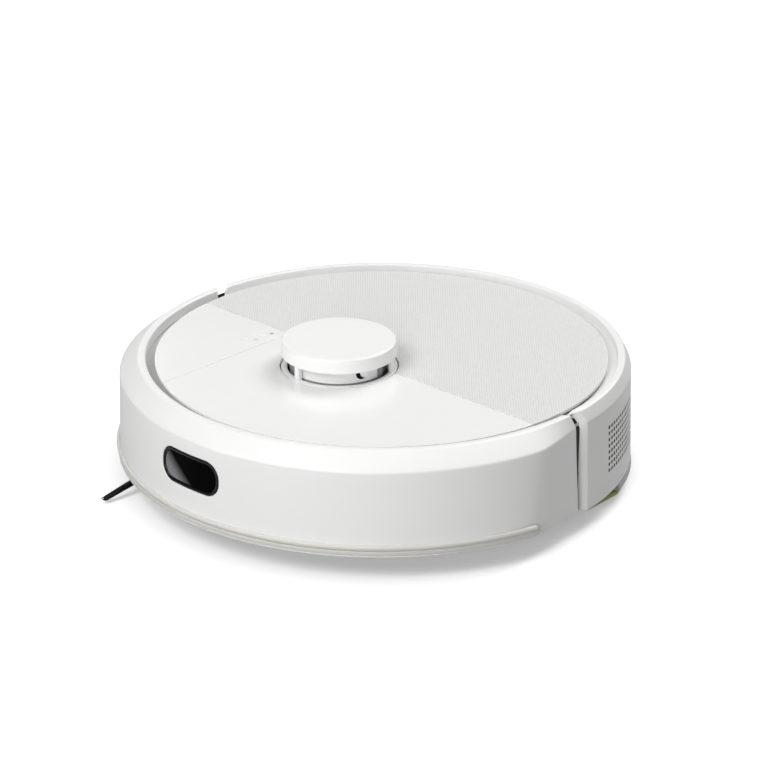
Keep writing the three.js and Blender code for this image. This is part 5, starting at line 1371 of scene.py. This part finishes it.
PLATE_Z, PLATE_THICK = span("mop_plate")[0][2], 3.2
WING = ((140, 30), (154.3, 30.5), (152.9, 63), (149.8, 69.5), (143, 80), (126, 92), (126, 74))
WING_RADII = (1.5, 1.5, 4.0, 2.0, 3.0, 1.0, 1.0)
MOP_FRONT_Y = span("water_tank")[0][1] + 10
TANK_BAND_Y = 60.0                          # where the band's ends come forward to
BAND_FOOT_Z = 7.8


def mop_plate():
    """The green plate: a rounded slab cut from a disc, and a thicker rounded slab for the wing that runs
    forwards at each side."""
    radius = SHELL_R - 7
    end = degrees_of((chord(radius, MOP_FRONT_Y), MOP_FRONT_Y))
    outline = cornered([arc((0, 0), radius, end, 180 - end, 120)], 3.0)
    sheets = Sheets()
    plate(sheets, [outline], PLATE_Z, PLATE_Z + PLATE_THICK, 0.6, 0.5)
    for side in (1, -1):
        wing = rounded((np.array(WING) * [side, 1])[::side], WING_RADII[::side], 5)
        plate(sheets, [wing], PLATE_Z - 0.4, PLATE_Z + PLATE_THICK, 1.0, 0.8)
    return make("mop_plate_winged", sheets, green_pp, "mop_module", "mop_plate")


def tank_band():
    """The tank's pale rim under the shell: a rounded section carried round the rear, which leans out at
    the sides with the wall above it."""
    section = rounded([
        [160.6, BAND_FOOT_Z], [165.0, BAND_FOOT_Z], [164.8, BAND_TOP_Z], [160.6, BAND_TOP_Z],
    ], [0.8, 0.9, 0.6, 0.6], 5)
    last = math.acos(TANK_BAND_Y / SHELL_R)
    angle = np.linspace(-last, last, 140)
    down = np.clip((BAND_TOP_Z - section[:, 1:]) / (BAND_TOP_Z - BAND_FOOT_Z), 0, 1)
    lean = np.clip((section[:, :1] - 163) / 2, 0, 1) * (1.7 + 1.3 * down)
    sheets = Sheets()
    swept(sheets, around(section[:, :1] + lean * at_side(np.sin(angle)), angle, section[:, 1:], -1))
    return make("tank_band", sheets, frosted_abs, "mop_module")


mop_plate()
tank_band()


# ---------------------------------------------------------------- mop pad

PAD_R, PAD_X, PAD_Y = 151.0, 116.0, 87.0        # a piece of a disc, out to PAD_X and back from PAD_Y
PAD_MIDDLE, PAD_HALF = 1.75, 0.95               # height of its middle, and half its thickness
PAD_EDGE = 2.4                                  # how far in from its edge it reaches full thickness
PAD_FRAMES, PAD_PRESSURE = 20, 4                # of the filling
PAD_SWELL = 0.5                                 # the most that a point may move as it fills
STITCH_PINCH, STITCH_REACH = 0.35, 1.3          # how far the stitching draws it in, and how widely


def pad_edge(x, y):
    """How far a point of the pad lies inside its outline, and its distance from the nearest stitching."""
    depth = np.sqrt(PAD_R ** 2 - x ** 2) - PAD_Y
    along = (y - PAD_Y) / depth
    edge = np.minimum(np.minimum(along, 1 - along) * depth, PAD_X - np.abs(x))
    stitch = np.minimum(np.abs(along - 1 / 3), np.abs(along - 2 / 3)) * depth
    return edge, stitch


def mop_pad():
    """The mop pad. Its blank is two sheets over a piece of a disc, joined round the edge and drawn
    together along two stitched lines; a cloth simulation fills it out between them, and the swelling
    is held to half a millimetre a side, so that the pad fits between the plate and the floor."""
    across, along = np.meshgrid(np.linspace(-1, 1, 103), np.linspace(0, 1, 28), indexing="ij")
    x = PAD_X * across
    y = PAD_Y + (np.sqrt(PAD_R ** 2 - x ** 2) - PAD_Y) * along
    edge, stitch = pad_edge(x, y)
    half = PAD_HALF * np.sqrt(np.clip(1 - (1 - np.clip(edge / PAD_EDGE, 0, 1)) ** 2, 0, 1))
    half *= 1 - STITCH_PINCH * np.exp(-(stitch / STITCH_REACH) ** 2)
    sheets = Sheets()
    sheets.grid(np.stack([x, y, PAD_MIDDLE + half], -1))
    sheets.grid(np.stack([x, y, PAD_MIDDLE - half], -1)[::-1])
    piece = make("mop_pad_cloth", sheets, pad_cloth, "mop_module", "mop_pad", 180)
    mesh = piece.data
    start = places(mesh)
    edge, stitch = pad_edge(*start[:, :2].T)
    group = piece.vertex_groups.new(name="held")
    group.add(np.flatnonzero((edge < 0.4) | (stitch < 0.8)).tolist(), 1.0, "REPLACE")
    cloth = piece.modifiers.new("filling", "CLOTH")
    cloth.settings.use_pressure = True
    cloth.settings.uniform_pressure_force = PAD_PRESSURE
    cloth.settings.effector_weights.gravity = 0
    cloth.settings.vertex_group_mass = group.name
    scene = bpy.context.scene
    for step in range(1, PAD_FRAMES + 1):
        scene.frame_set(step)
    move = places(piece.evaluated_get(bpy.context.evaluated_depsgraph_get()).data) - start
    far = np.linalg.norm(move, axis=1, keepdims=True)
    move *= PAD_SWELL * np.tanh(far / PAD_SWELL) / np.maximum(far, 1e-9)
    piece.modifiers.remove(cloth)
    put(mesh, start + move)
    scene.frame_set(1)
    finer = piece.modifiers.new("finer", "SUBSURF")
    finer.levels = finer.render_levels = 1
    return piece


mop_pad()


# ---------------------------------------------------------------- fastenings under the body

PAN_Z = span("base_pan")[0][2]
SCREWS = ((132, -68, 0.3), (24, -151, 0.9), (62, -6, 1.2), (112, 52, 0.5))    # across, back, and turned


def screws():
    """Countersunk screws in the pan: a rounded disc with a cross-shaped recess, over a disc that closes
    the recess's floor."""
    thin, long = 0.45, 1.6
    cross = rounded([
        [thin, thin], [thin, long], [-thin, long], [-thin, thin], [-long, thin], [-long, -thin],
        [-thin, -thin], [-thin, -long], [thin, -long], [thin, -thin], [long, -thin], [long, thin],
    ], 0.15, 2)
    sheets = Sheets()
    for x, y, turn in SCREWS:
        for side in (1, -1):
            place = np.array([side * x, y])
            recess = cross[::-1] @ turned_by(turn) + place
            plate(sheets, [circle(place, 3.0, 28), recess], PAN_Z - 0.35, PAN_Z + 0.7, 0.0, 0.3)
            plate(sheets, [circle(place, 2.2, 20)], PAN_Z + 0.3, PAN_Z + 0.9, 0.0, 0.0)
    return make("pan_screws", sheets, zinc_steel, "chassis")


def guard_latches():
    """The two ribbed thumb latches that hold the brush guard."""
    low, y = span("brush_guard")[0][2], span("brush_guard")[0][1]
    sheets = Sheets()
    for x in (-58, 58):
        outline = rounded(oblong((x - 9, y + 0.7), (x + 9, y + 5.3)), 1.4, 4)
        plate(sheets, [outline], low - 0.7, low + 0.5, 0.2, 0.4)
        for rib in x + np.arange(-6, 6.1, 2):
            bar = rounded(oblong((rib - 0.4, y + 1.5), (rib + 0.4, y + 4.5)), 0.3, 2)
            plate(sheets, [bar], low - 1.0, low - 0.2, 0.0, 0.1, 0.05)
    return make("guard_latches", sheets, green_pp, "chassis")


def brush_guard():
    """The guard over the brush: a flat rounded frame with one opening for each length of the brush."""
    (x0, y0, low), (x1, y1, high) = span("brush_guard")
    side, end_bar, half_bar = 6.0, 9.0, 1.2
    edges = [x0 + end_bar - half_bar, *BRUSH_NOTCHES, x1 - end_bar + half_bar]
    loops = [rounded(oblong((x0, y0), (x1, y1)), 3.0, 6)]
    for start, end in zip(edges[:-1], edges[1:]):
        opening = oblong((start + half_bar, y0 + side), (end - half_bar, y1 - side))
        loops.append(rounded([opening[0], *opening[:0:-1]], 1.2, 4))
    sheets = Sheets()
    plate(sheets, loops, low, high, 0.3, 0.6)
    return make("brush_guard_frame", sheets, grey_abs, "chassis", "brush_guard")


brush_guard()
screws()
guard_latches()


# ---------------------------------------------------------------- springs

def coil(sheets, foot, length, radius, wire, turns, axis):
    """A wire spring: a wire carried along a screw line whose pitch closes up at both ends."""
    t = np.linspace(0, 1, 20 * turns + 1)
    rise = wire / 2 + (length - wire) * (t - 0.55 * np.sin(TURN * t) / TURN)
    angle = TURN * turns * t
    axis = np.array(axis, float)
    side = np.array([1.0, 0, 0])
    other = np.cross(axis, side)
    path = (np.array(foot, float) + rise[:, None] * axis
            + radius * (np.cos(angle)[:, None] * side + np.sin(angle)[:, None] * other))
    tube(sheets, path, wire / 2, up=axis)


def bumper_spring(side):
    """A spring behind the bumper, with a mesh of its own."""
    node = "bumper_spring_" + side
    low, high = span(node)
    back = np.array([(low[0] + high[0]) / 2, high[1], (low[2] + high[2]) / 2])
    length = high[1] - low[1]
    sheets = Sheets()
    coil(sheets, back, length, (high[0] - low[0]) / 2 - 0.4, 0.8, 6, (0, -1, 0))
    piece = make(node + "_coil", sheets, zinc_steel, "chassis", node, 60)
    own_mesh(piece)


def wheel_spring(side):
    """A spring over a wheel arm, and the cup on the arm that it stands on."""
    node = side + "_wheel_spring"
    low, high = span(node)
    x, y, foot = (low[0] + high[0]) / 2, high[1] - SPRING_INSET, low[2] + SPRING_LIFT
    sheets = Sheets()
    coil(sheets, (x, y, foot), high[2] - foot, 4.0, 0.9, 5, (0, 0, 1))
    make(node + "_coil", sheets, zinc_steel, "chassis", node, 60)
    cup = Sheets()
    profile = np.array([[0, low[2] - 0.6], [4.9, low[2] - 0.6], [4.9, foot - 0.4], [0, foot - 0.4]])
    revolved(cup, thinned(rounded(profile, [0, 0.2, 0.6, 0], 4)), (x, y), 40, closed=False)
    make(side + "_spring_cup", cup, dark_abs, side + "_arm")


SPRING_INSET = 0.8              # from the plain wheel spring's rear to this one's axis, clear of the motor
SPRING_LIFT = 3.4               # from the plain spring's foot to this one's, over its cup
for side in ("left", "right"):
    bumper_spring(side)
    wheel_spring(side)


# ---------------------------------------------------------------- stage

FLOOR_WHITE = 0.97
FLOOR_BOUNCE = 0.35
FLOOR_GLOW = 0.31
FLOOR_REACH = 12.0                      # metres, as all lengths on the stage
MIDDLE = (0.0, 0.0, 0.05)               # what the lamps point at
CAMERA_PLACE = (1.1786, -1.2350, 0.7965)
CAMERA_TURN, CAMERA_CLIMB = 43.3164, 23.5226
CAMERA_LENS, CAMERA_SENSOR = 128.9, 36


def on_stage(thing):
    """Links a lamp, the camera or the floor to the scene."""
    bpy.context.scene.collection.objects.link(thing)
    return thing


def from_side(turn, climb, distance):
    """A way out from the object: turned from the front towards +X, and raised, in degrees."""
    turn, climb = math.radians(turn), math.radians(climb)
    level = distance * math.cos(climb)
    return Vector((level * math.sin(turn), -level * math.cos(turn), distance * math.sin(climb)))


def floor():
    """Matt paper that takes the shadow: to the eye, in gloss and through glass it is as white as the
    background, and it throws only a little light back up at the object."""
    material = bpy.data.materials.new("matt_white_floor")
    material.use_nodes = True
    tree = material.node_tree
    tree.nodes.clear()
    path = add(tree, "ShaderNodeLightPath")
    shade = ramp(tree, path.outputs["Is Camera Ray"], FLOOR_BOUNCE, FLOOR_WHITE)
    paper = add(tree, "ShaderNodeBsdfDiffuse", {"Color": shade})
    seen = path.outputs["Is Camera Ray"]
    for ray in ("Is Glossy Ray", "Is Transmission Ray"):
        seen = add(tree, "ShaderNodeMath", {0: seen, 1: path.outputs[ray]}, operation="MAXIMUM").outputs[0]
    strength = add(tree, "ShaderNodeMath", {0: seen, 1: FLOOR_GLOW}, operation="MULTIPLY").outputs[0]
    glow = add(tree, "ShaderNodeEmission", {"Color": (1, 1, 1, 1), "Strength": strength})
    both = add(tree, "ShaderNodeAddShader", {0: paper.outputs[0], 1: glow.outputs[0]})
    add(tree, "ShaderNodeOutputMaterial", {"Surface": both.outputs[0]})
    mesh = bpy.data.meshes.new("floor")
    corners = oblong((-FLOOR_REACH, -FLOOR_REACH), (FLOOR_REACH, FLOOR_REACH))
    mesh.from_pydata([(x, y, 0) for x, y in corners], [], [(0, 1, 2, 3)])
    mesh.materials.append(material)
    sheet = on_stage(bpy.data.objects.new("floor", mesh))
    return sheet


def surroundings(level):
    """A pale room: an even grey-white light from every side, and plain white where it is looked at."""
    world = bpy.data.worlds.new("studio")
    bpy.context.scene.world = world
    world.use_nodes = True
    tree = world.node_tree
    tree.nodes.clear()
    path = add(tree, "ShaderNodeLightPath")
    seen = path.outputs["Is Camera Ray"]
    lit = add(tree, "ShaderNodeBackground", {"Color": (1, 1, 1, 1), "Strength": level})
    white = add(tree, "ShaderNodeBackground", {"Color": (1, 1, 1, 1), "Strength": 1.0})
    choice = add(tree, "ShaderNodeMixShader", {0: seen, 1: lit.outputs[0], 2: white.outputs[0]})
    add(tree, "ShaderNodeOutputWorld", {"Surface": choice.outputs[0]})


def lamp(name, turn, climb, distance, size, power):
    """A square soft lamp that shines on the object's middle."""
    light = bpy.data.lights.new(name, "AREA")
    light.shape = "RECTANGLE"
    light.size = light.size_y = size
    light.energy = power
    thing = on_stage(bpy.data.objects.new(name, light))
    away = from_side(turn, climb, distance)
    thing.location = Vector(MIDDLE) + away
    thing.rotation_mode = "QUATERNION"
    thing.rotation_quaternion = away.to_track_quat("Z", "Y")


floor()
surroundings(0.15)
lamp("top_softbox", 0, 89.9, 1.6, 1.6, 5.5)
lamp("front_softbox", 0, 45, 1.9, 1.0, 18.4)
lamp("low_softbox", 32, 14, 2.0, 0.8, 11.5)
lamp("rear_softbox", 180, 45, 1.9, 1.0, 20.0)
lamp("side_softbox", -115, 14, 2.0, 0.8, 1.7)

lens = bpy.data.cameras.new("camera")
lens.sensor_width = CAMERA_SENSOR
lens.lens = CAMERA_LENS
camera = on_stage(bpy.data.objects.new("camera", lens))
turned = from_side(CAMERA_TURN, CAMERA_CLIMB, 1).to_track_quat("Z", "Y")
camera.matrix_world = Matrix.Translation(CAMERA_PLACE) @ turned.to_matrix().to_4x4()
bpy.context.scene.camera = camera

scene = bpy.context.scene
scene.view_settings.view_transform = "Standard"


# ---------------------------------------------------------------- remaining nodes

for name, node in frame["nodes"].items():
    if not node.hide_render:
        node.data.materials.clear()
        node.data.materials.append(FINISHES[SLOT_OF[name]])
